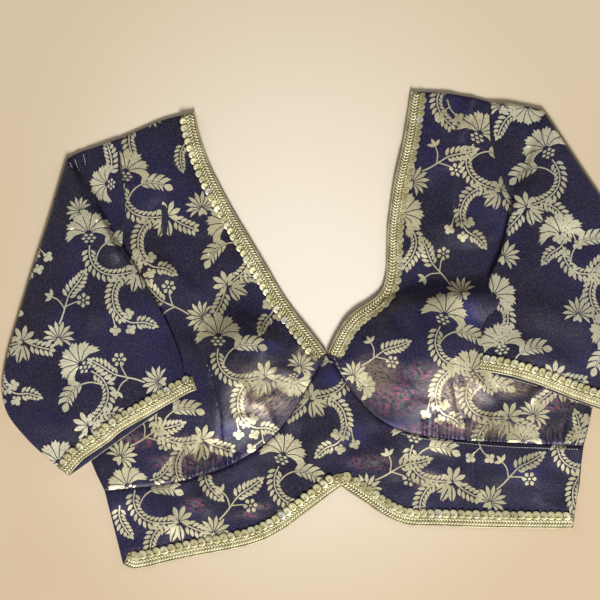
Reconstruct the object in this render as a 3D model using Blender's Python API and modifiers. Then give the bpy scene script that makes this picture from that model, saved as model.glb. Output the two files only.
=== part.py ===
"""A choli blouse, laid flat on its back with the front up.

Two cups cut in one with their shoulder straps, a pointed under-bust band, two back halves,
two sleeves folded down over the sides, and a zari braid on the neckline, hem and cuffs.

The pattern plane is in millimetres, measured from the point of the neckline's V: x runs
towards the wearer's left arm as laid (to the right), y runs up to the shoulders, and z is the
height over the surface. The finished pieces are moved so that the blouse stands centred on
the origin, in metres.
"""

from collections import namedtuple
import math

import bmesh
import bpy
from mathutils import Vector

MILLIMETRE = 0.001

# Driving sizes, in millimetres.
CLOTH = 1.2            # wall of every cloth piece, brocade and its lining together
SEAM = 0.3             # clearance between pieces sewn edge to edge or laid on each other
BRAID = 0.9            # thickness of the zari braid
BRAID_WIDTH = 14.5
BRAID_END = {"left": 14.0, "right": 20.0}   # under-bust seam that a neckline braid's end covers
CUP_HEIGHT = 16.0      # how far the empty cups stand up
CUP_RADIUS = (60.0, 74.0)
SEAM_STEP = 11.0       # spacing of the section lines along the under-bust seam
LAP = 0.7              # clearance of a sleeve over the body that it lies on
GATHER_HALF_WIDTH = 1.6

FRONT_UNDERSIDE = CLOTH + SEAM
FRONT_TOP = FRONT_UNDERSIDE + CLOTH

Place = namedtuple("Place", "x y")
Gather = namedtuple("Gather", "from_side length height")
Section = namedtuple("Section", "outer_x outer_y inner_x inner_y bow back_bow edge middle rise")

CUP_APEX = {"left": Place(-80, -22), "right": Place(84, -12)}
V_POINT = Place(0, 0)
NOTCH = Place(12, -113.5)

# The body's edges and seams in the pattern plane, for the left and the right side as laid.
SIDE_BAND = {
    "left": [Place(-173, -180), Place(-181, -148), Place(-189, -117)],
    "right": [Place(209, -149), Place(214, -116), Place(218, -79)],
}
SIDE_CUP = {
    "left": [Place(-189, -117), Place(-202, -88), Place(-210, -55), Place(-214, -20)],
    "right": [Place(218, -79), Place(225, -50), Place(229, -18), Place(230, 15)],
}
UNDERARM_CURVE = {
    "left": [Place(-214, -20), Place(-203, 5), Place(-188, 42), Place(-177, 72), Place(-174, 92)],
    "right": [Place(230, 15), Place(203, 36), Place(178, 66), Place(164, 98), Place(158, 130)],
}
SHOULDER_POINT = {"left": Place(-179, 181), "right": Place(139, 213)}
ARMHOLE_BOW = {"left": 3.0, "right": 6.0}

SHOULDER = {
    "left": [SHOULDER_POINT["left"], Place(-158, 190), Place(-136, 199), Place(-112, 204)],
    "right": [SHOULDER_POINT["right"], Place(124, 217), Place(98, 221), Place(71, 222)],
}
UNDERBUST = {
    "left": [Place(-189, -117), Place(-141, -112), Place(-108, -104), Place(-80, -94),
             Place(-53, -77), Place(-30, -52), Place(-14, -24), V_POINT],
    "right": [Place(218, -79), Place(153, -76), Place(116, -74), Place(88, -71),
              Place(62, -65), Place(40, -53), Place(20, -31), V_POINT],
}
NECKLINE = {
    "left": [V_POINT, Place(-31, 40), Place(-53, 76), Place(-76, 115), Place(-97, 154),
             Place(-108, 184), Place(-112, 204)],
    "right": [V_POINT, Place(12, 23), Place(24, 36.5), Place(37, 45), Place(46, 54),
              Place(50, 70), Place(51.5, 108), Place(57, 146), Place(65, 182), Place(71, 222)],
}
HEM = {
    "left": [Place(-173, -180), Place(-161, -183), Place(-120, -174), Place(-66, -163),
             Place(-39, -151), Place(-12, -131), NOTCH],
    "right": [Place(209, -149), Place(155, -148.5), Place(95, -147), Place(68, -146),
              Place(50, -139), Place(30, -125.5), NOTCH],
}

# The hidden back: its neck is cut lower than the front's, its hem a little higher.
BACK_CENTRE_TOP = Place(10, -26)
BACK_CENTRE_HEM = Place(11, -105)
BACK_NECK = {
    "left": [BACK_CENTRE_TOP, Place(-28, -6), Place(-58, 44), Place(-90, 108), Place(-112, 162),
             Place(-118, 199)],
    "right": [BACK_CENTRE_TOP, Place(42, -2), Place(56, 50), Place(62, 108), Place(72, 168),
              Place(77, 219)],
}
BACK_HEM = {
    "left": [Place(-170, -176), Place(-118, -168), Place(-62, -156), BACK_CENTRE_HEM],
    "right": [Place(206, -145), Place(140, -142), Place(72, -136), BACK_CENTRE_HEM],
}

# Gathers let into the under-bust seam, each placed by its distance from the side seam.
GATHERS = {
    "left": [Gather(69, 22, 0.8), Gather(75.5, 30, 1.1), Gather(80, 20, 0.8), Gather(84, 26, 1.0),
             Gather(89, 18, 0.7), Gather(93.5, 25, 1.0), Gather(99.5, 20, 0.8)],
    "right": [Gather(10.5, 15, 1.0), Gather(15, 15, 0.8), Gather(68, 20, 0.8),
              Gather(80, 26, 1.1), Gather(93, 22, 0.9), Gather(99, 28, 1.1),
              Gather(116, 24, 1.0), Gather(122, 18, 0.8)],
}

# Sleeve sections from the armhole to the cuff: where each one's outer and inner folds lie, how
# far its front and back layers bow towards the armhole, the sleeve's height at its folds and in
# its middle, and what the cuff's braid lifts it by.
SLEEVES = {
    "left": [
        Section(-179.5, 181, -174.5, 91.8, 3.0, 3.0, 3.4, 3.4, 0),
        Section(-200, 173, -176, 90.3, 0, 0, 3.4, 3.8, 0),
        Section(-218, 167, -177.5, 88.6, -2, 0, 3.6, 4.2, 0),
        Section(-221, 161, -175, 87, -2, 0, 4.4, 8.4, 0),
        Section(-229, 137, -169, 79, 0, 0, 4.4, 9.0, 0),
        Section(-239, 104, -161, 69, 0, 0, 4.4, 9.0, 0),
        Section(-249, 72, -152, 56, 0, 0, 4.4, 9.4, 0),
        Section(-259, 36, -143, 39, 0, 0, 4.4, 9.6, 0),
        Section(-269, 4, -136, 25, 0, 0, 4.4, 9.4, 0),
        Section(-275.5, -28, -129, 9, 1, 0, 4.4, 9.0, 0.3),
        Section(-271, -54, -124, -5, 2, 0, 4.4, 8.6, 0.8),
        Section(-253, -77, -121, -13, 4, 0, 4.4, 8.2, 1.2),
        Section(-232, -94, -118, -19, 5, 0, 4.4, 8.0, 1.2),
        Section(-218, -104, -110, -31, 6, 0.5, 4.4, 8.0, 1.2),
    ],
    "right": [
        Section(139.5, 213, 158.5, 129.8, 6.0, 6.0, 3.4, 3.4, 0),
        Section(161, 212, 160, 128.2, 2, 2, 3.4, 3.8, 0),
        Section(181, 207, 161, 126.4, 0, 0, 3.6, 4.2, 0),
        Section(185, 203, 158, 124, 0, 0, 4.4, 8.4, 0),
        Section(201, 179, 154, 114, 0, 0, 4.4, 9.0, 0),
        Section(219, 153, 150, 98, 0, 0, 4.4, 9.0, 0),
        Section(238, 123, 144, 80, 0, 0, 4.4, 9.4, 0),
        Section(256, 92, 138, 62, 0, 0, 4.4, 9.6, 0),
        Section(274, 59, 136, 42, 0, 0, 4.4, 9.4, 0),
        Section(287, 26, 131, 23, 1, 0, 4.4, 9.0, 0.3),
        Section(287, -3, 129, 10, 2, 0, 4.4, 8.6, 0.8),
        Section(277, -26, 128, 4, 4, 0, 4.4, 8.2, 1.2),
        Section(264, -42, 127.5, -1, 5, 0, 4.4, 8.0, 1.2),
        Section(253, -55, 127, -15, 5, 0, 4.4, 8.0, 1.2),
    ],
}
BRAID_SECTION = 12         # the section where the cuff's braid starts
CLIMB = (9.0, 28.0)        # how far outside the body a sleeve starts and ends its way down

FRONT_LAYER_POINTS = 11
BACK_LAYER_POINTS = 8
FOLD_POINTS = 3
SIDE_ROWS = 5              # rows of a panel beside its side seam, underarm curve and armhole
UNDERARM_ROWS = 6
ARMHOLE_ROWS = 6
BACK_COLUMNS = 9
BAND_ROWS = 4

COLOURS = {
    "navy_brocade": ((0.022, 0.018, 0.070, 1), 0.55, 0.0),
    "zari_braid": ((0.55, 0.47, 0.22, 1), 0.42, 0.7),
}


# ---------------------------------------------------------------- curves in the pattern plane

def smooth_curve(places, steps=10):
    """A dense line through the places, rounded as a Catmull-Rom curve."""
    knots = [Vector((place.x, place.y)) for place in places]
    knots = [2 * knots[0] - knots[1], *knots, 2 * knots[-1] - knots[-2]]
    line = []
    for before, start, end, after in zip(knots, knots[1:], knots[2:], knots[3:]):
        bend = 2 * before - 5 * start + 4 * end - after
        twist = 3 * start - before - 3 * end + after
        for step in range(steps):
            t = step / steps
            line.append(0.5 * (2 * start + (end - before) * t + bend * t ** 2 + twist * t ** 3))
    line.append(knots[-2])
    return line


def length_of(line):
    return sum((end - start).length for start, end in zip(line, line[1:]))


def point_along(line, distance):
    """The point that lies the given distance along a line."""
    for start, end in zip(line, line[1:]):
        step = (end - start).length
        if distance <= step:
            return start.lerp(end, distance / step)
        distance -= step
    return line[-1].copy()


def spaced(line, count):
    """Points evenly spaced along a line, its ends included."""
    total = length_of(line)
    return [point_along(line, total * index / (count - 1)) for index in range(count)]


def bowed_line(start, end, bow, count):
    """Points from start to end on a shallow arc, bow positive to the left of the way."""
    way = end - start
    aside = Vector((-way.y, way.x)).normalized()
    points = []
    for index in range(count):
        t = index / (count - 1)
        points.append(start + way * t + aside * bow * 4 * t * (1 - t))
    return points


def side_sign(side):
    return -1 if side == "left" else 1


def armhole_line(side, count):
    """The visible armhole seam, from the end of the underarm curve up to the shoulder point."""
    underarm = Vector(UNDERARM_CURVE[side][-1])
    shoulder = Vector(SHOULDER_POINT[side])
    return bowed_line(underarm, shoulder, side_sign(side) * ARMHOLE_BOW[side], count)


# ---------------------------------------------------------------- grids of pattern points

def patch(bottom, top, left, right):
    """A Coons patch: rows of points from the bottom line to the top line."""
    total = length_of(bottom)
    across = [length_of(bottom[:index + 1]) / total for index in range(len(bottom))]
    rows = []
    for index, (start, end) in enumerate(zip(left, right)):
        v = index / (len(left) - 1)
        row = []
        for low, high, u in zip(bottom, top, across):
            ruled = low.lerp(high, v) + start.lerp(end, u)
            corners = bottom[0].lerp(bottom[-1], u).lerp(top[0].lerp(top[-1], u), v)
            row.append(ruled - corners)
        rows.append(row)
    return rows


def draw_in(grid, distance):
    """Move a grid's outer points inwards, so that sewn pieces keep clear of each other."""
    moved = [[point.copy() for point in row] for row in grid]
    last_row = len(grid) - 1
    last_column = len(grid[0]) - 1

    def shift(row, column, row_step, column_step, edge_row, edge_column):
        tangent = edge_row[1] - edge_row[0] if edge_row else edge_column[1] - edge_column[0]
        inward = grid[row + row_step][column + column_step] - grid[row][column]
        normal = Vector((-tangent.y, tangent.x)).normalized()
        if normal.dot(inward) < 0:
            normal.negate()
        moved[row][column] += normal * distance

    for column in range(last_column + 1):
        before = max(column - 1, 0)
        after = min(column + 1, last_column)
        shift(0, column, 1, 0, (grid[0][before], grid[0][after]), None)
        top = grid[last_row]
        shift(last_row, column, -1, 0, (top[before], top[after]), None)
    for row in range(last_row + 1):
        before = grid[max(row - 1, 0)]
        after = grid[min(row + 1, last_row)]
        shift(row, 0, 0, 1, None, (before[0], after[0]))
        shift(row, last_column, 0, -1, None, (before[-1], after[-1]))
    return moved


def seam_stations(side, with_gathers):
    """Distances from the side seam, along the under-bust seam, of a piece's section lines."""
    total = length_of(smooth_curve(UNDERBUST[side])) - BRAID_END[side]
    count = round(total / SEAM_STEP)
    stations = [total * index / count for index in range(count + 1)]
    if with_gathers:
        feet = set()
        for gather in GATHERS[side]:
            for offset in (-GATHER_HALF_WIDTH, 0, GATHER_HALF_WIDTH):
                feet.add(gather.from_side + offset)
        spread = [s for s in stations if min(abs(s - foot) for foot in feet) > 1.2]
        stations = sorted([*spread, *feet])
    return stations


def neckline_braid(side, rows):
    """The neckline and the braid's inner edge, row by row from the V to the shoulder."""
    outer = spaced(smooth_curve(NECKLINE[side]), rows)
    seam = smooth_curve(UNDERBUST[side])
    inner = [point_along(seam, length_of(seam) - BRAID_END[side])]
    for before, point, after in zip(outer, outer[1:], outer[2:]):
        way = (after - before).normalized()
        inward = Vector((-way.y, way.x)) * -side_sign(side)
        inner.append(point + inward * BRAID_WIDTH)
    shoulder = smooth_curve(SHOULDER[side])
    inner.append(point_along(shoulder, length_of(shoulder) - BRAID_WIDTH))
    inner[1] = inner[1].lerp((inner[0] + inner[2]) / 2, 0.4)
    return outer, inner


# ---------------------------------------------------------------- heights

def smoothstep(low, high, value):
    t = min(max((value - low) / (high - low), 0), 1)
    return t * t * (3 - 2 * t)


def front_underside(point):
    """Height of the underside of the front, with its two empty cups."""
    height = FRONT_UNDERSIDE
    for apex in CUP_APEX.values():
        reach = math.hypot((point.x - apex.x) / CUP_RADIUS[0], (point.y - apex.y) / CUP_RADIUS[1])
        if reach < 1:
            height += CUP_HEIGHT * (1 + math.cos(math.pi * reach)) / 2
    return height


def back_underside(point):
    return 0.0


def raised(grid, height):
    return [[Vector((point.x, point.y, height(point))) for point in row] for row in grid]


def lifted(grid, distance):
    return [[point + Vector((0, 0, distance)) for point in row] for row in grid]


def add_gathers(grid, side):
    """Raise a ridge on each gather's line, fading out up the cup."""
    stations = seam_stations(side, with_gathers=True)
    for gather in GATHERS[side]:
        column = stations.index(gather.from_side)
        for row in grid:
            run = (row[column].xy - grid[0][column].xy).length
            row[column].z += gather.height * (1 - smoothstep(0.3, 1, run / gather.length))


# ---------------------------------------------------------------- pieces

def make_material(name):
    colour, roughness, metallic = COLOURS[name]
    material = bpy.data.materials.new(name)
    material.use_nodes = True
    finish = material.node_tree.nodes["Principled BSDF"]
    finish.inputs["Base Color"].default_value = colour
    finish.inputs["Roughness"].default_value = roughness
    finish.inputs["Metallic"].default_value = metallic
    material.diffuse_color = colour
    return material


def add_object(name, form, material, collection):
    mesh = bpy.data.meshes.new(name)
    form.to_mesh(mesh)
    form.free()
    mesh.materials.append(material)
    piece = bpy.data.objects.new(name, mesh)
    collection.objects.link(piece)
    return piece


def laid_wall(name, grid, thickness, material, collection):
    """A wall of cloth whose underside follows the grid's points."""
    form = bmesh.new()
    rows = [[form.verts.new(point * MILLIMETRE) for point in row] for row in grid]
    for low, high in zip(rows, rows[1:]):
        for corners in zip(low, low[1:], high[1:], high):
            form.faces.new(corners)
    copied = bmesh.ops.extrude_face_region(form, geom=form.faces[:])
    top = [item for item in copied["geom"] if isinstance(item, bmesh.types.BMVert)]
    bmesh.ops.translate(form, verts=top, vec=(0, 0, thickness * MILLIMETRE))
    bmesh.ops.recalc_face_normals(form, faces=form.faces)
    return add_object(name, form, material, collection)


def outer_edge(side_seam, side):
    """A panel's outer edge, row by row up the side seam, underarm curve and armhole."""
    underarm = spaced(smooth_curve(UNDERARM_CURVE[side]), UNDERARM_ROWS + 1)
    armhole = armhole_line(side, ARMHOLE_ROWS + 1)
    return [*spaced(side_seam, SIDE_ROWS + 1), *underarm[1:], *armhole[1:]]


def front_grid(side):
    """Pattern points of a cup and its strap; the last two columns carry the braid."""
    seam = smooth_curve(UNDERBUST[side])
    stations = seam_stations(side, with_gathers=True)
    bottom = [point_along(seam, station) for station in stations]
    edge = outer_edge(smooth_curve(SIDE_CUP[side]), side)
    outer, inner = neckline_braid(side, len(edge))
    shoulder = smooth_curve(SHOULDER[side])
    reach = (length_of(shoulder) - BRAID_WIDTH) / stations[-1]
    top = [point_along(shoulder, station * reach) for station in stations]
    rows = patch(bottom, top, edge, inner)
    middle = [point.lerp(end, 0.5) for point, end in zip(inner, outer)]
    return [[*row, half, end] for row, half, end in zip(rows, middle, outer)]


def band_grid():
    """Pattern points of the band, hem first; its first three rows carry the braid."""
    top = []
    hem = []
    for side in ("left", "right"):
        seam = smooth_curve(UNDERBUST[side])
        stations = [*seam_stations(side, with_gathers=False), length_of(seam)]
        upper = [point_along(seam, station) for station in stations]
        lower = spaced(smooth_curve(HEM[side]), len(stations))
        if side == "left":
            top += upper
            hem += lower
        else:
            top += upper[-2::-1]
            hem += lower[-2::-1]
    inner = offset_line(hem, BRAID_WIDTH)
    inner[0] = hem[0] + (top[0] - hem[0]).normalized() * BRAID_WIDTH
    inner[-1] = hem[-1] + (top[-1] - hem[-1]).normalized() * BRAID_WIDTH
    middle = [start.lerp(end, 0.5) for start, end in zip(hem, inner)]
    rows = [hem, middle, inner]
    for index in range(1, BAND_ROWS + 1):
        share = index / BAND_ROWS
        rows.append([low.lerp(high, share) for low, high in zip(inner, top)])
    return rows


def offset_line(line, distance):
    """A line to the left of another, mitred at its corners."""
    moved = [line[0].copy()]
    for before, point, after in zip(line, line[1:], line[2:]):
        first = (point - before).normalized()
        second = (after - point).normalized()
        normal = Vector((-first.y - second.y, first.x + second.x)).normalized()
        spread = normal.dot(Vector((-first.y, first.x)))
        moved.append(point + normal * distance / spread)
    moved.append(line[-1].copy())
    return moved


def back_grid(side):
    """Pattern points of a back half, from its side to the centre-back edge."""
    side_edge = smooth_curve([*SIDE_BAND[side], *SIDE_CUP[side][1:]])
    edge = outer_edge(side_edge, side)
    centre = [Vector(BACK_CENTRE_HEM).lerp(Vector(BACK_CENTRE_TOP), step / 3) for step in range(3)]
    inner = [*centre, *spaced(smooth_curve(BACK_NECK[side]), len(edge) - 3)]
    bottom = spaced(smooth_curve(BACK_HEM[side]), BACK_COLUMNS)
    edge[0] = bottom[0]
    top = [edge[-1].lerp(inner[-1], index / (BACK_COLUMNS - 1)) for index in range(BACK_COLUMNS)]
    return patch(bottom, top, edge, inner)


def body_edge(side):
    """The edge of the body under a sleeve, from the underarm curve's top down to the hem."""
    up = [*smooth_curve(SIDE_BAND[side])[:-1], *smooth_curve(SIDE_CUP[side])[:-1],
          *smooth_curve(UNDERARM_CURVE[side])]
    return up[::-1]


def distance_outside(point, edge, side):
    """How far a point lies outside the body's edge; nothing where it lies over the body."""
    nearest = (point - edge[0]).length
    inside = False
    for start, end in zip(edge, edge[1:]):
        way = end - start
        along = (point - start).dot(way) / way.length_squared
        gap = (point - start.lerp(end, min(max(along, 0), 1))).length
        if gap < nearest:
            nearest = gap
            inside = way.cross(point - start) * side_sign(side) < 0
    return 0.0 if inside else nearest


def sleeve_floor(point, edge, side):
    """Height of a sleeve's underside: over the body it lies on, and down to the surface."""
    down = smoothstep(*CLIMB, distance_outside(point, edge, side))
    over_body = front_underside(point) + CLOTH + LAP
    return over_body * (1 - down)


def refined(sections):
    """The sections with one more between each two, on smooth curves through every column."""
    first = Section(*(2 * a - b for a, b in zip(sections[0], sections[1])))
    last = Section(*(2 * a - b for a, b in zip(sections[-1], sections[-2])))
    padded = [first, *sections, last]
    fine = []
    for before, start, end, after in zip(padded, padded[1:], padded[2:], padded[3:]):
        fine.append(start)
        fine.append(Section(*((9 * (b + c) - a - d) / 16
                              for a, b, c, d in zip(before, start, end, after))))
    fine.append(sections[-1])
    return fine


def sleeve_ring(section, edge, side):
    """Points round a sleeve at one section: front layer, inner fold, back layer, outer fold."""
    outer = Vector((section.outer_x, section.outer_y))
    inner = Vector((section.inner_x, section.inner_y))
    way = (inner - outer).normalized()
    radius = section.edge / 2
    start = outer + way * radius
    end = inner - way * radius
    towards_armhole = -side_sign(side)
    front = bowed_line(start, end, section.bow * towards_armhole, FRONT_LAYER_POINTS)
    back = bowed_line(start, end, section.back_bow * towards_armhole, BACK_LAYER_POINTS)
    ring = []
    for index, point in enumerate(front):
        t = index / (FRONT_LAYER_POINTS - 1)
        swell = 1 - abs(2 * t - 1) ** 3
        loft = section.edge + (section.middle - section.edge) * swell
        height = sleeve_floor(point, edge, side) + section.rise + loft
        ring.append(Vector((point.x, point.y, height)))
    ring += fold_points(end, way, radius, section, edge, side)
    for point in reversed(back):
        height = sleeve_floor(point, edge, side) + section.rise
        ring.append(Vector((point.x, point.y, height)))
    ring += reversed(fold_points(start, -way, radius, section, edge, side))
    return ring


def fold_points(centre, way, radius, section, edge, side):
    """A half circle from the front layer down to the back layer, bulging along the way."""
    middle = sleeve_floor(centre, edge, side) + section.rise + radius
    points = []
    for index in range(1, FOLD_POINTS + 1):
        angle = math.pi * index / (FOLD_POINTS + 1)
        spot = centre + way * radius * math.sin(angle)
        points.append(Vector((spot.x, spot.y, middle + radius * math.cos(angle))))
    return points


def tube(name, rings, side, thickness, offset, material, collection):
    """An open tube through the rings, with its wall from a Solidify modifier."""
    form = bmesh.new()
    loops = [[form.verts.new(point * MILLIMETRE) for point in ring] for ring in rings]
    for near, far in zip(loops, loops[1:]):
        for index in range(len(near)):
            after = (index + 1) % len(near)
            corners = [near[index], far[index], far[after], near[after]]
            form.faces.new(corners if side == "left" else corners[::-1])
    piece = add_object(name, form, material, collection)
    wall = piece.modifiers.new("wall", "SOLIDIFY")
    wall.thickness = thickness * MILLIMETRE
    wall.offset = offset
    return piece


def build_front(side, cloth, braid, collection):
    grid = raised(draw_in(front_grid(side), SEAM / 2), front_underside)
    add_gathers(grid, side)
    laid_wall("front_" + side, grid, CLOTH, cloth, collection)
    strip = lifted([row[-3:] for row in grid], CLOTH + SEAM)
    laid_wall("neck_trim_" + side, strip, BRAID, braid, collection)


def build_band(cloth, braid, collection):
    grid = raised(draw_in(band_grid(), SEAM / 2), front_underside)
    laid_wall("front_band", grid, CLOTH, cloth, collection)
    laid_wall("hem_trim", lifted(grid[:3], CLOTH + SEAM), BRAID, braid, collection)


def build_back(side, cloth, collection):
    grid = raised(draw_in(back_grid(side), SEAM / 2), back_underside)
    laid_wall("back_" + side, grid, CLOTH, cloth, collection)


def build_sleeve(side, cloth, braid, collection):
    edge = body_edge(side)
    sections = refined(SLEEVES[side])
    rings = [sleeve_ring(section, edge, side) for section in sections]
    tube("sleeve_" + side, rings, side, CLOTH, -1, cloth, collection)
    cuff = rings[2 * BRAID_SECTION:]
    tube("cuff_trim_" + side, cuff, side, BRAID, 1 + 2 * SEAM / BRAID, braid, collection)


def centre_on_origin(pieces):
    corners = [vertex.co for piece in pieces for vertex in piece.data.vertices]
    low = [min(corner[axis] for corner in corners) for axis in range(2)]
    high = [max(corner[axis] for corner in corners) for axis in range(2)]
    for piece in pieces:
        piece.location = (-(low[0] + high[0]) / 2, -(low[1] + high[1]) / 2, 0)


def main():
    for item in list(bpy.data.objects):
        bpy.data.objects.remove(item, do_unlink=True)
    collection = bpy.data.collections.new("choli_blouse")
    bpy.context.scene.collection.children.link(collection)
    cloth = make_material("navy_brocade")
    braid = make_material("zari_braid")
    for side in ("left", "right"):
        build_front(side, cloth, braid, collection)
        build_back(side, cloth, collection)
        build_sleeve(side, cloth, braid, collection)
    build_band(cloth, braid, collection)
    centre_on_origin(list(collection.objects))


main()
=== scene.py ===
"""A choli blouse of navy brocade with gold braid, laid flat: its looks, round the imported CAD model."""

import itertools
import math

import bpy
import numpy as np
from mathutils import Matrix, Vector, geometry
from mathutils.bvhtree import BVHTree
from mathutils.kdtree import KDTree


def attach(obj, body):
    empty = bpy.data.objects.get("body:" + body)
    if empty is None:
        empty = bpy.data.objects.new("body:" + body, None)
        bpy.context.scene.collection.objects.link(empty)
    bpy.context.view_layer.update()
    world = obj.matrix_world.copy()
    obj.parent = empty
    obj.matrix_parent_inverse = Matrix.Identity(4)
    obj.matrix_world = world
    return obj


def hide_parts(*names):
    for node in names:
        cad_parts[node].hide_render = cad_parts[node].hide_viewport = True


MM = 0.001

CLOTH = 1.0             # thickness of a brocade sheet with its lining, mm
MESH_STEP = 2.6         # spacing of the points inside a sheet, mm
BACK_STEP = 5.0         # the same on the side that lies on the surface
EDGE_STEP = 1.6         # spacing of the points along its edges, mm
DOT_STEP = 0.4          # spacing of the points that a distance from an edge is measured to, mm
FLOOR_GAP = 0.02        # how far every piece stays above the surface, mm

PHOTO_SCALE = 0.85               # mm of the blouse for one pixel of the photograph
PHOTO_ORIGIN = (334.61, 330.18)  # the pixel over the origin of the frame
CAMERA_HEIGHT = 1.6              # m
PHOTO_CENTRE = (300, 300)
PHOTO_SIDE = 600


def at(px, py):
    """The place in the plan, in mm, under a pixel of the photograph."""
    return (px - PHOTO_ORIGIN[0]) * PHOTO_SCALE, (PHOTO_ORIGIN[1] - py) * PHOTO_SCALE


# -------- lines in the plan

def lengths_along(line):
    steps = np.linalg.norm(np.diff(line[:, :2], axis=0), axis=1)
    return np.concatenate([[0.0], np.cumsum(steps)])


def resampled(line, step):
    """The polyline with evenly spaced points, about a step apart."""
    along = lengths_along(line)
    wanted = np.linspace(0, along[-1], max(2, int(round(along[-1] / step)) + 1))
    return np.stack([np.interp(wanted, along, line[:, axis]) for axis in range(line.shape[1])], axis=1)


def smoothed(points, step):
    """A Catmull-Rom curve through the points, with points about a step apart."""
    points = np.asarray(points, dtype=float)
    knots = np.vstack([2 * points[0] - points[1], points, 2 * points[-1] - points[-2]])
    t = np.linspace(0, 1, 12, endpoint=False)[:, None]
    parts = [0.5 * (2 * b + (c - a) * t + (2 * a - 5 * b + 4 * c - d) * t ** 2
                    + (3 * b - a - 3 * c + d) * t ** 3)
             for a, b, c, d in zip(knots, knots[1:], knots[2:], knots[3:])]
    return resampled(np.vstack([*parts, knots[-2]]), step)


def curve_at(pixels, step=EDGE_STEP):
    """The curve through some photograph pixels, or the straight line between two."""
    line = np.array([at(*pixel) for pixel in pixels])
    return smoothed(line, step) if len(line) > 2 else line


def normals_of(line):
    """The unit vectors to the left of a plan line, at its points."""
    way = np.gradient(line[:, :2], axis=0)
    way /= np.maximum(np.linalg.norm(way, axis=1, keepdims=True), 1e-9)
    return np.stack([-way[:, 1], way[:, 0]], axis=1)


def beside(line, *gaps):
    """The lines that run some distances to a line's left."""
    return [line + normals_of(line) * gap for gap in gaps]


def closed(loop):
    return np.vstack([loop, loop[:1]])


def joined(sides):
    """The loop of sides that each start where the one before ends."""
    return np.vstack([side[:-1] for side in sides])


def anticlockwise(loop):
    x, y = loop[:, 0], loop[:, 1]
    turned = (x * np.roll(y, -1) - y * np.roll(x, -1)).sum() < 0
    return loop[::-1] if turned else loop


def nearest_on(line, places):
    """For each place: distance to the line, signed to its left, and distance along it."""
    best = np.full(len(places), np.inf)
    side, along = np.ones(len(places)), np.zeros(len(places))
    for start, run, before in zip(line, np.diff(line, axis=0), lengths_along(line)):
        offset = places - start
        length = max(np.linalg.norm(run), 1e-6)
        t = np.clip(offset @ run / length ** 2, 0, 1)
        gap = np.linalg.norm(offset - t[:, None] * run, axis=1)
        cross = run[0] * offset[:, 1] - run[1] * offset[:, 0]
        closer = gap < best
        best = np.where(closer, gap, best)
        side = np.where(closer, np.where(cross < 0, -1, 1), side)
        along = np.where(closer, before + t * length, along)
    return best * side, along


def inside(loop, points):
    """Which plan points lie inside a closed loop."""
    x, y = points[:, 0], points[:, 1]
    result = np.zeros(len(points), dtype=bool)
    for (x0, y0), (x1, y1) in zip(loop[:, :2], np.roll(loop[:, :2], -1, axis=0)):
        crosses = (y0 > y) != (y1 > y)
        if y0 != y1:
            result ^= crosses & (x < (x1 - x0) * (y - y0) / (y1 - y0) + x0)
    return result


def gap_finder(points):
    """A function that gives how far places are from the nearest of some plan points."""
    tree = KDTree(len(points))
    for index, (x, y) in enumerate(points):
        tree.insert((x, y, 0), index)
    tree.balance()
    return lambda places: np.array([tree.find((x, y, 0))[2] for x, y in places])


def grid_places(low, high, step):
    """The places of a square grid over a stretch of the plan, and its two counts."""
    counts = np.ceil((high - low) / step).astype(int) + 1
    axes = (low[axis] + step * np.arange(counts[axis]) for axis in (0, 1))
    return np.stack(np.meshgrid(*axes, indexing="ij"), axis=-1).reshape(-1, 2), counts


# -------- what the CAD model gives

SKIN_SLOPE = 0.08       # cosine of the steepest face that still counts as skin
RAY_START = 0.05        # how far off a face the ray that looks for cover over it starts, mm
CORNER = 45             # the least turn of an outline at a corner, degrees
CORNER_REACH = 3        # how near a side's end lies to the corner that it is looked up by, mm


def solid_of(node):
    """A CAD node's points in mm and its triangles, with equal points joined."""
    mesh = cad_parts[node].data
    mesh.calc_loop_triangles()
    points = np.array([vertex.co[:] for vertex in mesh.vertices]) / MM
    keys, index = np.unique(np.round(points, 2), axis=0, return_inverse=True)
    triangles = index.reshape(-1)[np.array([t.vertices[:] for t in mesh.loop_triangles])]
    return keys, triangles


def tree_of(points, triangles):
    return BVHTree.FromPolygons([Vector(point) for point in points], triangles.tolist())


def skin_of(points, triangles, way):
    """The triangles that face up (way 1) or down (way -1) with nothing of the node over them."""
    tree = tree_of(points, triangles)
    up = Vector((0, 0, way))
    chosen = []
    for triangle in triangles:
        a, b, c = points[triangle]
        facing_way = np.cross(b - a, c - a)
        if facing_way[2] * way >= SKIN_SLOPE * np.linalg.norm(facing_way):
            if tree.ray_cast(Vector((a + b + c) / 3) + up * RAY_START, up)[0] is None:
                chosen.append(triangle)
    return chosen


def outline_of(points, triangles):
    """The longest loop of edges that belong to one triangle only, anticlockwise in the plan."""
    edges = set()
    for a, b, c in triangles:
        edges |= {(a, b), (b, c), (c, a)}
    after = {a: b for a, b in edges if (b, a) not in edges}
    loops = []
    while after:
        start, here = after.popitem()
        loop = [start]
        while here != start and here in after:
            loop.append(here)
            here = after.pop(here)
        loops.append(points[loop])
    return anticlockwise(max(loops, key=len))


def with_corners(loop):
    """A CAD outline split at its corners: a list of sides, in order."""
    before = loop - np.roll(loop, 1, axis=0)
    after = np.roll(loop, -1, axis=0) - loop
    turn = np.degrees(np.arctan2(before[:, 0] * after[:, 1] - before[:, 1] * after[:, 0],
                                 (before * after).sum(axis=1)))
    corners = np.flatnonzero(abs(turn) > CORNER)
    return [loop.take(range(first, last + 1), axis=0, mode="wrap")
            for first, last in zip(corners, [*corners[1:], corners[0] + len(loop)])]


def outline_sides(name, way=1):
    """The smooth sides of a CAD node's skin, seen from above."""
    points, triangles = solid_of(name)
    loop = outline_of(points, skin_of(points, triangles, way))[:, :2]
    return [smoothed(side, EDGE_STEP) if len(side) > 2 else resampled(side, EDGE_STEP)
            for side in with_corners(loop)]


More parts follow.
